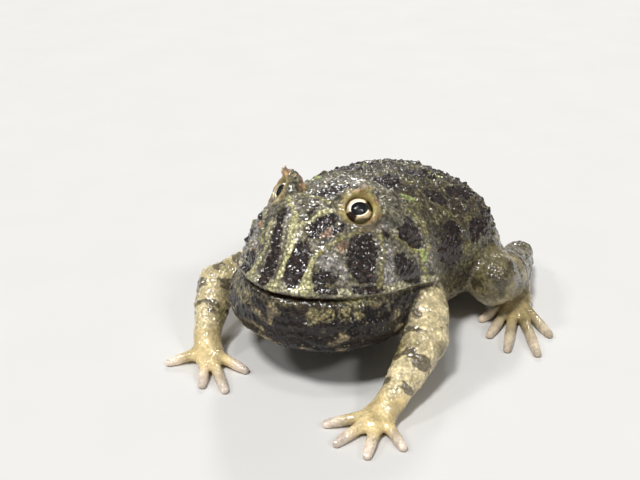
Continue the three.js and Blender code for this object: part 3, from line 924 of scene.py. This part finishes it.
# Heights of the warts in millimetres: on the trunk, the face, the limbs and the lower jaw
BIG_HEIGHTS = (1.15, 0.5, 0.4, 0)
MIDDLE_HEIGHTS = (0.85, 0.85, 0.4, 0.35)
SMALL_HEIGHTS = (0.12, 0.14, 0, 0)
SMALL_HEIGHT = 0.34  # of small warts everywhere, besides the heights by region
HAND_SMOOTHNESS = 0.26  # how much lower the small warts of the hands are
LIP_HEIGHT = 0.4
MOUTH_GROOVE_DEPTH = 1.1
THROAT_FOLD_HEIGHT = 0.38
LID_RING_HEIGHT = 0.1
LID_FOLD_HEIGHT = 0.3
STRIPE_HEIGHT = 0.3
BLOTCH_DEPTH = 0.15
LID_CREASE = 3.1  # from the ball to the crease above the eye
HAND_LINE = -42  # hands lie in front of it and feet behind it


def bell(x, middle, width):
    """A smooth bump of height 1."""
    return np.exp(-(((x - middle) / width) ** 2))


class Zones:
    """Where each vertex lies: in the head's axes, and its shares from 0 to 1 of the body's regions."""

    def __init__(self, p, normals):
        self.p, self.normals = p, normals
        self.q, self.below = to_head(p), to_head(p, JAW_PITCH)
        self.limb, self.hand, self.tip, self.bar = limb_places(p)
        head = smooth_step(self.q[:, 1], -9, -1) * (1 - self.limb)
        upper = smooth_step(self.q[:, 2], -0.5, 1.5)
        self.face = head * upper
        self.lower = head * (1 - smooth_step(self.below[:, 2], -0.5, 0.9)) * (1 - upper)
        self.trunk = (1 - head) * (1 - self.limb)
        self.ventral = smooth_step(-normals[:, 2], 0.05, 0.6)
        self.find_eyes()
        self.find_horns()
        self.find_lining()
        streaks = self.below[:, 2] * 1.5 + noise(p, 7, 6) * 3.2 + self.below[:, 1] * 0.06
        self.fold = np.sin(streaks) * (0.5 + 0.5 * noise(p, 5, 12))

    def find_eyes(self):
        from_eye = np.minimum.reduce([np.linalg.norm(self.p - c, axis=1) for c in EYES.values()])
        self.from_ball = from_eye - EYE_RADIUS
        self.lid = 1 - smooth_step(self.from_ball, 1.6, 3.4)
        self.calm = smooth_step(self.from_ball, 0.8, 3)

    def find_horns(self):
        sides = [(horn_field(self.p, way), head_line(HORN_FRONT, way)) for way in SIDES.values()]
        whole = np.maximum.reduce([smooth_step(-field, -1.2, -0.2) for field, _ in sides])
        self.horn = whole * smooth_step(self.q[:, 2], 24.5, 26.5)
        fronts = [chain(self.p, line[:, :3], line[:, 3]) for _, line in sides]
        self.horn_front = smooth_step(-np.minimum.reduce(fronts), -0.7, 0.5) * self.calm
        self.above_eye = smooth_step(self.q[:, 2] - EYE_PLACE[2], -1, 2.5) * (1 - self.horn)

    def find_lining(self):
        along = np.maximum(self.q[:, 1], 0) / HEAD_REACH
        self.plan = power_sum(self.q[:, 0] / HEAD_HALF_WIDTH, along, PLAN_POWER)
        within = (1 - smooth_step(self.plan, 0.9, 0.965)) * smooth_step(self.q[:, 1], 3, 7)
        level = 1 - smooth_step(np.abs(self.q[:, 2] + 2), 4, 7)
        self.lining = within * level * (1 - self.trunk)


def mouth_groove(z):
    """The line between the lips, which fades towards the jaw corners."""
    forward = z.q[:, 1]
    groove = bell(z.q[:, 2], -0.2, 0.75) * smooth_step(forward, -2.5, 1.5) * smooth_step(-forward, -17, -12)
    return groove * smooth_step(z.plan, 0.8, 0.95) * (1 - z.limb)


def lid_relief(z):
    """Fine rings round the eye, and a fold and a crease above it."""
    rings = np.sin((z.from_ball + EYE_RADIUS) * 5.2 + noise(z.p, 3, 15) * 2.5)
    rings = rings * smooth_step(z.from_ball, 0.9, 1.8)
    fold = bell(z.from_ball, 1.7, 0.7) - 1.3 * bell(z.from_ball, LID_CREASE, 0.5)
    return LID_RING_HEIGHT * rings * z.lid * (1 - z.horn) + LID_FOLD_HEIGHT * fold * z.above_eye


def relief_of(z, marks):
    """Heights of warts, lips, folds and raised stripes, in millimetres."""
    p, face, trunk = z.p, z.face, z.trunk
    big, middle, small = (warts(p, **sizes) for sizes in (BIG_WARTS, MIDDLE_WARTS, SMALL_WARTS))
    bare = z.calm * (1 - z.lining)
    rough = (1 - 0.75 * z.ventral) * bare
    regions = np.array([trunk, face, z.limb * (1 - z.hand), z.lower])
    relief = rough * (big * (BIG_HEIGHTS @ regions) + middle * (MIDDLE_HEIGHTS @ regions))
    relief += (0.35 * middle + 0.4 * small) * rough * smooth_step(-marks.grey, -1, 1)
    relief += small * bare * (SMALL_HEIGHT + SMALL_HEIGHTS @ regions - HAND_SMOOTHNESS * z.hand)
    relief += noise(p, 8, 4) * 0.45 * trunk + noise(p, 4, 5) * 0.18 * (trunk + face)
    relief += LIP_HEIGHT * face * (bell(z.q[:, 2], 0.6, 1.3) - 0.7 * bell(z.q[:, 2], 2.9, 0.8))
    relief -= MOUTH_GROOVE_DEPTH * mouth_groove(z)
    relief += THROAT_FOLD_HEIGHT * z.fold * z.lower * smooth_step(-z.below[:, 2], 1.5, 4)
    relief += lid_relief(z)
    raised = smooth_step(-marks.stripe, -0.7, 0.5) + smooth_step(-marks.ridge, -0.8, 0.3)
    relief += STRIPE_HEIGHT * face * raised
    relief -= BLOTCH_DEPTH * face * smooth_step(-marks.blotch, -0.5, 0.6)
    return relief


def paint_body(z, marks, slow, quick):
    """Base colours of the trunk, the face and the lower jaw, with the jaw's dark skin darkened further by
    painted shade.
    """
    p, face = z.p, z.face
    tone = paint(np.tile(OLIVE_DARK, (len(p), 1)), OLIVE, smooth_step(slow, 0.35, 0.75))
    tone = paint(tone, BACK_BROWN, 0.75 * z.trunk * smooth_step(quick, 0.4, 0.75))
    tone = paint(tone, FACE_OLIVE, face * (0.35 + 0.5 * smooth_step(noise(p, 3, 18), -0.3, 0.5)))
    tone = paint(tone, GREY_SKIN, face * np.maximum(0.25, 0.9 * smooth_step(-marks.grey, -1.6, 0.8)))
    tone = paint(tone, RUST, face * smooth_step(-marks.rust, -0.9, 0.5) * 0.9)
    # the lower jaw's own dark tone together with painted shade under the chin
    tone = paint(tone, THROAT_TONE_AND_SHADE, z.lower)
    mottle = noise(p, 2.2, 16) + 0.8 * noise(p, 5.5, 17) + 0.5 * z.fold
    tone = paint(tone, THROAT_PALE, z.lower * smooth_step(mottle, 0.35, 0.95) * 0.8)
    low_down = smooth_step(p[:, 1], -44, -30) * smooth_step(-p[:, 2], -16, -8)
    return paint(tone, BELLY, z.ventral * low_down * (1 - z.limb))


def paint_limbs(tone, z, arm_side, slow, quick):
    """Base colours of the arms and the legs over the body's."""
    arm_tone = np.tile(LIMB_OLIVE, (len(tone), 1))
    arm_tone = paint(arm_tone, LIMB_CREAM, smooth_step(slow + 0.4 * z.ventral, 0.15, 0.6))
    leg_tone = paint(np.tile(LEG_OLIVE, (len(tone), 1)), BELLY, z.ventral * 0.9)
    leg_tone = paint(leg_tone, LIMB_CREAM, 0.35 * smooth_step(slow, 0.5, 0.9))
    tone = paint(tone, leg_tone, z.limb - arm_side)
    tone = paint(tone, arm_tone, arm_side)
    in_front = z.p[:, 1] < HAND_LINE
    tone = paint(tone, HAND_YELLOW, z.hand * (0.45 + 0.5 * quick) * np.where(in_front, 1, 0.55))
    return paint(tone, DIGIT_PALE, z.tip * np.where(in_front, 1, 0.6))


def paint_lips_and_lids(tone, z, quick):
    """Base colours of the lips, lids, horns and the mouth's lining over the rest, with painted shade on the
    lower lid and in the crease above the eye.
    """
    p, q, face, lid = z.p, z.q, z.face, z.lid
    tone = paint(tone, LIP_OLIVE, face * (1 - smooth_step(q[:, 2], 2.2, 3.2)) * 0.9)
    tone = paint(tone, LIP_INNER, face * (1 - smooth_step(q[:, 2], -0.5, 0.5)))
    tone = paint(tone, LID, lid * face * (0.8 + 0.2 * quick))
    inwards = smooth_step(EYE_PLACE[0] - np.abs(q[:, 0]), 0.5, 4.5)
    rust = inwards * smooth_step(q[:, 1], 15, 19)
    rust = np.maximum(rust, smooth_step(noise(p, 2.0, 19), 0.25, 0.6))
    tone = paint(tone, LID_RUST, rust * lid * face * 0.8)
    # painted shade: a darker olive line in the crease above the eye
    tone = paint(tone, OLIVE, bell(z.from_ball, LID_CREASE, 0.6) * z.above_eye * face * 0.6)
    # painted shade: the lid darker below the eye's middle
    below_eye_shade = smooth_step(EYE_PLACE[2] - q[:, 2], -0.5, 2.5)
    tone = paint(tone, LID_UNDER_SHADE, below_eye_shade * lid * face * 0.85)
    tone = paint(tone, LID, z.horn)
    inner = smooth_step(-np.sign(p[:, 0]) * z.normals[:, 0] - 0.8 * z.normals[:, 1], 0.0, 0.5)
    tone = paint(tone, HORN_RUST, z.horn_front * inner * (0.6 + 0.4 * quick))
    tone = paint(tone, HORN_PALE, z.horn * smooth_step(q[:, 2], 28.2, 30) * 0.7)
    return paint(tone, LINING, z.lining)


def trim_marks(z, marks, arm_side):
    """Keeps all markings off lids, horns and lining, blotches off limbs and bars off hands."""
    clear = np.maximum.reduce([z.lid, z.horn, z.horn_front, z.lining])
    for name in Marks.NAMES:
        off = np.maximum(clear, z.tip) if name == "bar" else clear
        setattr(marks, name, getattr(marks, name) + 6 * off)
    arm_breaks = arm_side * (0.8 + 3.4 * noise(z.p, 3.5, 21))
    leg_breaks = (z.limb - arm_side) * (0.4 + 2.2 * noise(z.p, 4.5, 22))
    marks.bar = marks.bar + 4 * smooth_step(z.hand, 0.2, 0.8) + 3 * z.ventral + arm_breaks + leg_breaks
    marks.blotch = marks.blotch + 8 * z.limb


def skin_layers(p, normals, marks):
    """Relief in millimetres, base colour with painted shade under the jaw and round the eyes, wetness, and
    strength of the grain and of the painted shade between the granules, for every vertex of the skin.
    """
    z = Zones(p, normals)
    marks.bar = z.bar
    slow = 0.5 + 0.5 * noise(p, 7, 7)
    quick = 0.5 + 0.5 * noise(p, 2.4, 8)
    arm_side = z.limb * (1 - smooth_step(p[:, 1], -42, -36))
    relief = relief_of(z, marks)
    tone = paint_body(z, marks, slow, quick)
    tone = paint_limbs(tone, z, arm_side, slow, quick)
    tone = paint_lips_and_lids(tone, z, quick)
    trim_marks(z, marks, arm_side)
    wet = (0.3 + 0.7 * smooth_step(normals[:, 2], -0.35, 0.25)) * (1 - 0.5 * z.lower) * (1 - 0.3 * z.trunk)
    # how strongly the mottling, the specks and the painted shade between the granules show
    grain_and_gap_shade = (1 - 0.6 * z.limb) * (1 - 0.6 * z.hand) * (1 - 0.75 * z.lid) * (1 - 0.5 * z.horn)
    return relief, tone, wet, grain_and_gap_shade


# Blender meshes
def mesh_object(name, vertices, faces):
    """A smooth-shaded mesh, with its vertices given in millimetres."""
    mesh = bpy.data.meshes.new(name)
    mesh.from_pydata((np.asarray(vertices) * MM).tolist(), [], [tuple(int(i) for i in f) for f in faces])
    mesh.polygons.foreach_set("use_smooth", [True] * len(mesh.polygons))
    obj = bpy.data.objects.new(name, mesh)
    bpy.context.scene.collection.objects.link(obj)
    return obj


def give(obj, name, values):
    """Puts one number or colour on each vertex."""
    if values.ndim == 1:
        attribute = obj.data.attributes.new(name, "FLOAT", "POINT")
        attribute.data.foreach_set("value", values.astype(np.float32))
    else:
        attribute = obj.data.attributes.new(name, "FLOAT_COLOR", "POINT")
        rgba = np.column_stack([values, np.ones(len(values))]).astype(np.float32)
        attribute.data.foreach_set("color", rgba.ravel())


# Node materials
class Shader:
    """A node material, built from the colour back."""

    def __init__(self, name):
        self.material = bpy.data.materials.new(name)
        self.material.use_nodes = True
        self.tree = self.material.node_tree
        self.surface = self.tree.nodes["Principled BSDF"]
        self.place = self.tree.nodes.new("ShaderNodeTexCoord").outputs["Object"]

    def put(self, socket, value):
        if isinstance(value, bpy.types.NodeSocket):
            self.tree.links.new(value, socket)
        elif isinstance(value, (int, float)):
            socket.default_value = value
        else:
            socket.default_value = (*value, 1) if len(socket.default_value) == 4 else value

    def math(self, operation, *values):
        node = self.tree.nodes.new("ShaderNodeMath")
        node.operation = operation
        for socket, value in zip(node.inputs, values):
            self.put(socket, value)
        return node.outputs[0]

    def times(self, a, b):
        return self.math("MULTIPLY", a, b)

    def noise(self, size, detail=2.0):
        """Noise from 0 to 1 with features of a size in millimetres."""
        node = self.tree.nodes.new("ShaderNodeTexNoise")
        node.inputs["Scale"].default_value = 1 / (size * MM)
        node.inputs["Detail"].default_value = detail
        self.put(node.inputs["Vector"], self.place)
        return node.outputs["Fac"]

    def cells(self, size, feature="F1"):
        node = self.tree.nodes.new("ShaderNodeTexVoronoi")
        node.feature = feature
        node.inputs["Scale"].default_value = 1 / (size * MM)
        self.put(node.inputs["Vector"], self.place)
        return node.outputs["Distance"]

    def attribute(self, name, kind="Fac"):
        node = self.tree.nodes.new("ShaderNodeAttribute")
        node.attribute_name = name
        return node.outputs[kind]

    def ramp(self, value, low, high, out_low=0.0, out_high=1.0):
        node = self.tree.nodes.new("ShaderNodeMapRange")
        node.interpolation_type = "SMOOTHSTEP"
        for socket, x in zip(node.inputs, (value, low, high, out_low, out_high)):
            self.put(socket, x)
        return node.outputs[0]

    def mix(self, a, b, share, blend="MIX"):
        node = self.tree.nodes.new("ShaderNodeMix")
        node.data_type, node.blend_type = "RGBA", blend
        self.put(node.inputs["Factor"], share)
        self.put(node.inputs[6], a)
        self.put(node.inputs[7], b)
        return node.outputs[2]

    def bump(self, height, distance, normal=None):
        """A bump whose height from 0 to 1 stands for a distance in millimetres."""
        node = self.tree.nodes.new("ShaderNodeBump")
        node.inputs["Distance"].default_value = distance * MM
        self.put(node.inputs["Height"], height)
        if normal is not None:
            self.put(node.inputs["Normal"], normal)
        return node.outputs["Normal"]

    def set(self, **values):
        for name, value in values.items():
            self.put(self.surface.inputs[name.replace("_", " ")], value)


STRIPE_COLOUR = (0.46, 0.43, 0.17)
STRIPE_PALE = (0.80, 0.74, 0.42)
BLOTCH_COLOUR = (0.016, 0.007, 0.004)
BLOTCH_BROWN = (0.055, 0.028, 0.018)
BORDER_COLOUR = (0.19, 0.165, 0.08)
RIDGE_COLOUR = (0.34, 0.30, 0.11)
BAR_COLOUR = (0.06, 0.045, 0.028)
PALE_SPECK = (0.36, 0.31, 0.17)
LIGHT_SHARE = 0.72  # the skin's colours were chosen under brighter lights than these
LIME = (0.38, 0.44, 0.10)
LIME_PALE = (0.60, 0.66, 0.28)
YELLOW_PATCH = (0.36, 0.30, 0.14)


def skin_material():
    s = Shader("wet_frog_skin")
    coarse, medium, fine = s.noise(5.0, 3), s.noise(1.5, 3), s.noise(0.45, 2)
    grains = s.cells(1.0)
    wander = s.math("MULTIPLY_ADD", medium, 2.2, s.math("MULTIPLY_ADD", fine, 1.4, -1.8))

    def area(name, shift=0.0, soft=0.16, share=1.0):
        edge = s.math("MULTIPLY_ADD", wander, share, s.attribute(name))
        return s.ramp(edge, shift + soft, shift - soft)

    grain_and_gap_shade = s.attribute("grain_and_gap_shade")
    tone = s.mix(s.attribute("tone", "Color"), s.ramp(medium, 0.3, 0.7, 0.45, 1.55), grain_and_gap_shade, "MULTIPLY")
    tone = s.mix(tone, s.ramp(coarse, 0.3, 0.7, 0.75, 1.25), 1.0, "MULTIPLY")
    specks = s.ramp(s.noise(0.9, 2), 0.60, 0.66)
    tone = s.mix(tone, BAR_COLOUR, s.times(s.times(specks, 0.75), grain_and_gap_shade))
    tone = s.mix(tone, PALE_SPECK, s.times(s.ramp(s.noise(1.3, 2), 0.64, 0.7), 0.5))
    tone = s.mix(tone, BAR_COLOUR, s.times(area("bar", 0.0, 0.35), 0.78))
    tone = s.mix(tone, YELLOW_PATCH, s.times(area("patch", 0.2, 0.5), s.ramp(medium, 0.35, 0.6)))
    border = s.times(area("blotch", 0.7, 0.25, 0.7), s.ramp(coarse, 0.42, 0.58))
    tone = s.mix(tone, BORDER_COLOUR, border)
    dark = s.mix(BLOTCH_COLOUR, BLOTCH_BROWN, s.ramp(medium, 0.42, 0.68))
    tone = s.mix(tone, dark, area("blotch"))
    stripe = s.mix(STRIPE_COLOUR, STRIPE_PALE, s.ramp(fine, 0.35, 0.65))
    stripe = s.mix(stripe, BAR_COLOUR, s.times(s.ramp(s.cells(1.5), 0.2, 0.12), 0.7))
    ridge = s.mix(RIDGE_COLOUR, STRIPE_COLOUR, s.ramp(coarse, 0.45, 0.65))
    tone = s.mix(tone, ridge, area("ridge", 0.05, 0.25, 0.4))
    tone = s.mix(tone, stripe, area("stripe", 0.0, 0.2, 0.5))
    tone = s.mix(tone, s.mix(LIME, LIME_PALE, fine), area("lime", 0.2, 0.3))
    # painted shade in the gaps between the granules and painted light on their tops: the colour is lifted
    # where the film bump is high and darkened where it is low
    tone = s.mix(tone, s.ramp(grains, 0.15, 0.75, 1.4, 0.42), grain_and_gap_shade, "MULTIPLY")
    tone = s.mix(tone, (LIGHT_SHARE,) * 3, 1.0, "MULTIPLY")
    roughness = s.ramp(medium, 0.3, 0.7, 0.42, 0.62)
    s.set(Base_Color=tone, Roughness=roughness, IOR=1.4, Specular_IOR_Level=0.25)
    s.set(Coat_Weight=s.attribute("wet"), Coat_Roughness=0.05, Coat_IOR=1.6)
    s.set(Subsurface_Weight=0.08, Subsurface_Scale=0.0008, Subsurface_Radius=(1.0, 0.5, 0.3))
    film = s.bump(s.ramp(grains, 0.0, 0.8, 1, 0), 0.12)
    s.set(Normal=s.bump(fine, 0.14, film), Coat_Normal=film)
    return s.material


SETTLING_ROUNDS = 2  # how often the vertices are moved on to the surface


def skin():
    values, low = sampled_grid()
    vertices, quads = largest_part(*net_of(values, low))
    slope = slope_of(vertices)
    for _ in range(SETTLING_ROUNDS):
        depth = in_chunks(frog_field, vertices)
        move = (depth / np.maximum((slope**2).sum(1), 0.2))[:, None] * slope
        vertices = vertices - np.clip(move, -CELL / 2, CELL / 2)
    normals = normals_of(vertices, quads)
    marks = Marks(vertices, Surface(vertices, quads))
    relief, tone, wet, grain_and_gap_shade = skin_layers(vertices, normals, marks)
    relief *= smooth_step(vertices[:, 2], 0.05, 1.5)
    shaped = vertices + normals * relief[:, None]
    shaped[:, 2] = np.maximum(shaped[:, 2], 0)
    obj = mesh_object("skin", shaped, quads)
    give(obj, "tone", tone)
    give(obj, "wet", wet)
    give(obj, "grain_and_gap_shade", grain_and_gap_shade)
    for name in Marks.NAMES:
        give(obj, name, getattr(marks, name))
    obj.data.materials.append(skin_material())
    return obj


# Eyes
IRIS_RADIUS = 0.89 * EYE_RADIUS  # at the ball's edge of the iris, seen from the front
PUPIL_HALF_WIDTH = 0.55 * EYE_RADIUS
PUPIL_HALF_HEIGHT = 0.42 * EYE_RADIUS
PUPIL_RISE = 0.4
PUPIL_AHEAD = 0.75 * EYE_RADIUS
PUPIL_TILT = math.radians(12)
DARK_WEDGES = [(math.radians(212), 1.5), (math.radians(6), 1.7)]  # angle from the outer corner, half-width
BALL_RADIUS = EYE_RADIUS - 0.1
CORNEA_THICKNESS = 0.12
SECTORS = 96


def eye_turn(way):
    """The eye's own axes as columns: outwards from the nose, up, and along the gaze."""
    gaze = unit(eye_axis(way))
    up = from_head(0, 0, 1) - JAW_CORNERS
    up = unit(up - gaze * (up @ gaze))
    right = np.cross(up, gaze)
    tilt = way * PUPIL_TILT
    right, up = right * math.cos(tilt) + up * math.sin(tilt), up * math.cos(tilt) - right * math.sin(tilt)
    return np.column_stack([right, up, gaze])


def ringed(rings):
    """Quads between rings of SECTORS points each, with a fan at both ends."""
    vertices = np.concatenate([*rings, rings[0].mean(0, keepdims=True), rings[-1].mean(0, keepdims=True)])
    first, last = len(vertices) - 2, len(vertices) - 1
    faces = []
    for i in range(SECTORS):
        j = (i + 1) % SECTORS
        faces.append((first, j, i))
        base = (len(rings) - 1) * SECTORS
        faces.append((last, base + i, base + j))
        for r in range(len(rings) - 1):
            a, b = r * SECTORS, (r + 1) * SECTORS
            faces.append((a + i, a + j, b + j, b + i))
    return vertices, faces


def ring(half_width, half_height, ahead, rise=0.0):
    angle = np.arange(SECTORS) * 2 * math.pi / SECTORS
    across, up = half_width * np.cos(angle), rise + half_height * np.sin(angle)
    return np.column_stack([across, up, np.full(SECTORS, ahead)])


def ball_rings():
    """From the back pole over the ball and the iris to the middle of the pupil."""
    edge = math.asin(IRIS_RADIUS / BALL_RADIUS)
    rings = []
    for angle in np.linspace(0.12, math.pi - edge, 18):
        r = BALL_RADIUS * math.sin(angle)
        rings.append(ring(r, r, -BALL_RADIUS * math.cos(angle)))
    limbus_ahead = BALL_RADIUS * math.cos(edge)
    for t in np.linspace(0.07, 1, 14):
        bulge = limbus_ahead + (PUPIL_AHEAD - limbus_ahead) * math.sin(t * math.pi / 2) ** 0.9
        half_width = IRIS_RADIUS + (PUPIL_HALF_WIDTH - IRIS_RADIUS) * t
        half_height = IRIS_RADIUS + (PUPIL_HALF_HEIGHT - IRIS_RADIUS) * t
        rings.append(ring(half_width, half_height, bulge, PUPIL_RISE * t))
    for shrink, sink in ((0.97, 0.08), (0.92, 0.3), (0.6, 0.22), (0.25, 0.16)):
        half_width, half_height = PUPIL_HALF_WIDTH * shrink, PUPIL_HALF_HEIGHT * shrink
        rings.append(ring(half_width, half_height, PUPIL_AHEAD - sink, PUPIL_RISE))
    return rings


def cornea_rings():
    edge = math.radians(78)
    angles = np.linspace(0.04, edge, 18)
    rings = [ring(*(EYE_RADIUS * math.sin(a),) * 2, EYE_RADIUS * math.cos(a)) for a in angles]
    inner = EYE_RADIUS - CORNEA_THICKNESS
    rings += [ring(*(inner * math.sin(a),) * 2, inner * math.cos(a)) for a in angles[::-1]]
    return rings[::-1]


IRIS_GOLD = ((0.34, 0.26, 0.15), (0.62, 0.50, 0.36))  # below and above the pupil
IRIS_AMBER = (0.40, 0.28, 0.12)
IRIS_VEIN = (0.06, 0.03, 0.01)
# painted shadow of the lids: the iris's outer ring darker
IRIS_RIM_SHADOW = (0.20, 0.13, 0.05)
# painted shade of the lower lid on the bottom of the eye
IRIS_LOW_SHADE = (0.05, 0.04, 0.012)
IRIS_DARK = (0.014, 0.007, 0.004)
PUPIL_EDGE = (0.72, 0.62, 0.46)
PUPIL_BLACK = (0.002, 0.002, 0.002)
CORNEA_TINTS = ((0.97, 0.98, 0.98), (1.0, 1.0, 1.0))


def iris_material():
    s = Shader("gold_iris")
    radial = s.attribute("from_pupil")
    band = s.attribute("band")
    veins = s.cells(0.42, "DISTANCE_TO_EDGE")
    height = s.attribute("height")
    gold = s.mix(*IRIS_GOLD, s.ramp(height, -1.2, 1.0))
    gold = s.mix(gold, IRIS_AMBER, s.times(s.ramp(s.noise(0.35, 3), 0.45, 0.65), 0.5))
    gold = s.mix(gold, IRIS_VEIN, s.times(s.ramp(veins, 0.08, 0.03), 0.6))
    # painted shadow of the lids on the outer iris
    gold = s.mix(gold, IRIS_RIM_SHADOW, s.ramp(radial, 1.1, 1.7))
    # painted shade of the lower lid: the iris darker at its bottom
    gold = s.mix(gold, IRIS_LOW_SHADE, s.ramp(height, -2.5, -3.2))
    wedge = s.math("ADD", band, s.math("MULTIPLY_ADD", s.noise(0.5, 2), 0.7, -0.35))
    gold = s.mix(gold, IRIS_DARK, s.ramp(wedge, 0.12, -0.12))
    edge = s.times(s.ramp(radial, 0.42, 0.25), s.ramp(wedge, -0.5, 0.1))
    gold = s.mix(gold, PUPIL_EDGE, edge)
    gold = s.mix(PUPIL_BLACK, gold, s.ramp(radial, 0.0, 0.03))
    s.set(Base_Color=gold, Roughness=0.4, IOR=1.4, Specular_IOR_Level=0.1)
    s.set(Normal=s.bump(s.noise(0.3, 2), 0.05))
    return s.material


def cornea_material():
    s = Shader("wet_cornea")
    s.set(Transmission_Weight=1.0, Roughness=0.01, IOR=1.28)
    s.set(Base_Color=s.mix(*CORNEA_TINTS, s.noise(2.0)))
    return s.material


def eye_pieces(side):
    way = SIDES[side]
    turn = eye_turn(way)
    local, faces = ringed(ball_rings())
    ball = mesh_object(f"eyeball_{side}", local @ turn.T + EYES[side], faces)
    raised = local[:, 1] - PUPIL_RISE
    oval = np.hypot(local[:, 0] / PUPIL_HALF_WIDTH, raised / PUPIL_HALF_HEIGHT)
    away = np.hypot(local[:, 0], raised)
    from_pupil = np.where(local[:, 2] > 0, (oval - 1) * away / np.maximum(oval, 0.1), 3)
    outwards = np.column_stack([way * local[:, 0], raised])
    band = np.full(len(local), 9.0)
    for angle, half_width in DARK_WEDGES:
        along = outwards @ (math.cos(angle), math.sin(angle))
        aside = np.abs(outwards @ (-math.sin(angle), math.cos(angle)))
        band = np.minimum(band, np.where(along > 0, aside - half_width * (0.4 + 0.18 * along), 9))
    give(ball, "height", raised)
    give(ball, "from_pupil", from_pupil)
    give(ball, "band", band)
    ball.data.materials.append(iris_material())
    local, faces = ringed(cornea_rings())
    cornea = mesh_object(f"cornea_{side}", local @ turn.T + EYES[side], faces)
    cornea.data.materials.append(cornea_material())
    cornea.visible_shadow = False
    return ball, cornea


# Studio
# Suns: name, azimuth and elevation, how wide each looks, all in degrees, and strength
SUNS = [
    ("key", 0, 62, 10, 2.5),
    ("left", -55, 48, 8, 0.65),
    ("right", 80, 42, 8, 0.65),
    ("top", 30, 82, 8, 0.4),
    ("behind", 205, 38, 8, 0.8),
]
SUN_DISTANCE = 2
WORLD_COLOUR = (0.97, 0.98, 1.0)
WORLD_STRENGTH = 0.17
FLOOR_HALF_WIDTH = 3.0
FLOOR_TILES = 24  # along each edge
FLOOR_GREYS = ((0.60, 0.59, 0.57), (0.64, 0.63, 0.61))


def camera():
    right, up, back = camera_axes()
    data = bpy.data.cameras.new("camera")
    data.lens, data.sensor_width = LENS, SENSOR_WIDTH
    data.clip_start, data.clip_end = 0.01, 50
    obj = bpy.data.objects.new("camera", data)
    place = Matrix(np.column_stack([right, up, back]).tolist()).to_4x4()
    place.translation = Vector(((CAMERA_TARGET + back * CAMERA_DISTANCE) * MM).tolist())
    obj.matrix_world = place
    bpy.context.scene.collection.objects.link(obj)
    bpy.context.scene.camera = obj


def sun(name, azimuth, elevation, width, strength):
    """A wide, soft light from far off that faces the frog, its azimuth counted as the camera's is."""
    data = bpy.data.lights.new(name, "SUN")
    data.angle, data.energy = math.radians(width), strength
    a, e = math.radians(azimuth), math.radians(elevation)
    back = Vector((math.sin(a) * math.cos(e), -math.cos(a) * math.cos(e), math.sin(e)))
    obj = bpy.data.objects.new(name, data)
    obj.location = Vector((CAMERA_TARGET * MM).tolist()) + back * SUN_DISTANCE
    obj.rotation_euler = (-back).to_track_quat("-Z", "Y").to_euler()
    bpy.context.scene.collection.objects.link(obj)


def floor():
    mesh = bpy.data.meshes.new("floor")
    rows = FLOOR_TILES + 1
    ticks = np.linspace(-FLOOR_HALF_WIDTH, FLOOR_HALF_WIDTH, rows)
    vertices = [(x, y, 0) for y in ticks for x in ticks]
    corners = [j * rows + i for j in range(FLOOR_TILES) for i in range(FLOOR_TILES)]
    faces = [(c, c + 1, c + rows + 1, c + rows) for c in corners]
    mesh.from_pydata(vertices, [], faces)
    obj = bpy.data.objects.new("floor", mesh)
    s = Shader("pale_floor")
    s.set(Base_Color=s.mix(*FLOOR_GREYS, s.noise(40)), Roughness=0.8)
    mesh.materials.append(s.material)
    bpy.context.scene.collection.objects.link(obj)


def studio():
    world = bpy.data.worlds.new("studio")
    world.use_nodes = True
    background = world.node_tree.nodes["Background"]
    background.inputs["Color"].default_value = (*WORLD_COLOUR, 1)
    background.inputs["Strength"].default_value = WORLD_STRENGTH
    bpy.context.scene.world = world
    for values in SUNS:
        sun(*values)
    bpy.context.scene.view_settings.view_transform = "Standard"


camera()
studio()
floor()
frog_skin = skin()
flesh = [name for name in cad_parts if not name.startswith("eye_")]
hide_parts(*flesh)
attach(frog_skin, BODY)
for eye_side in SIDES:
    eyeball, clear_cornea = eye_pieces(eye_side)
    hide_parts(f"eye_{eye_side}")
    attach(eyeball, BODY)
    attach(clear_cornea, BODY)
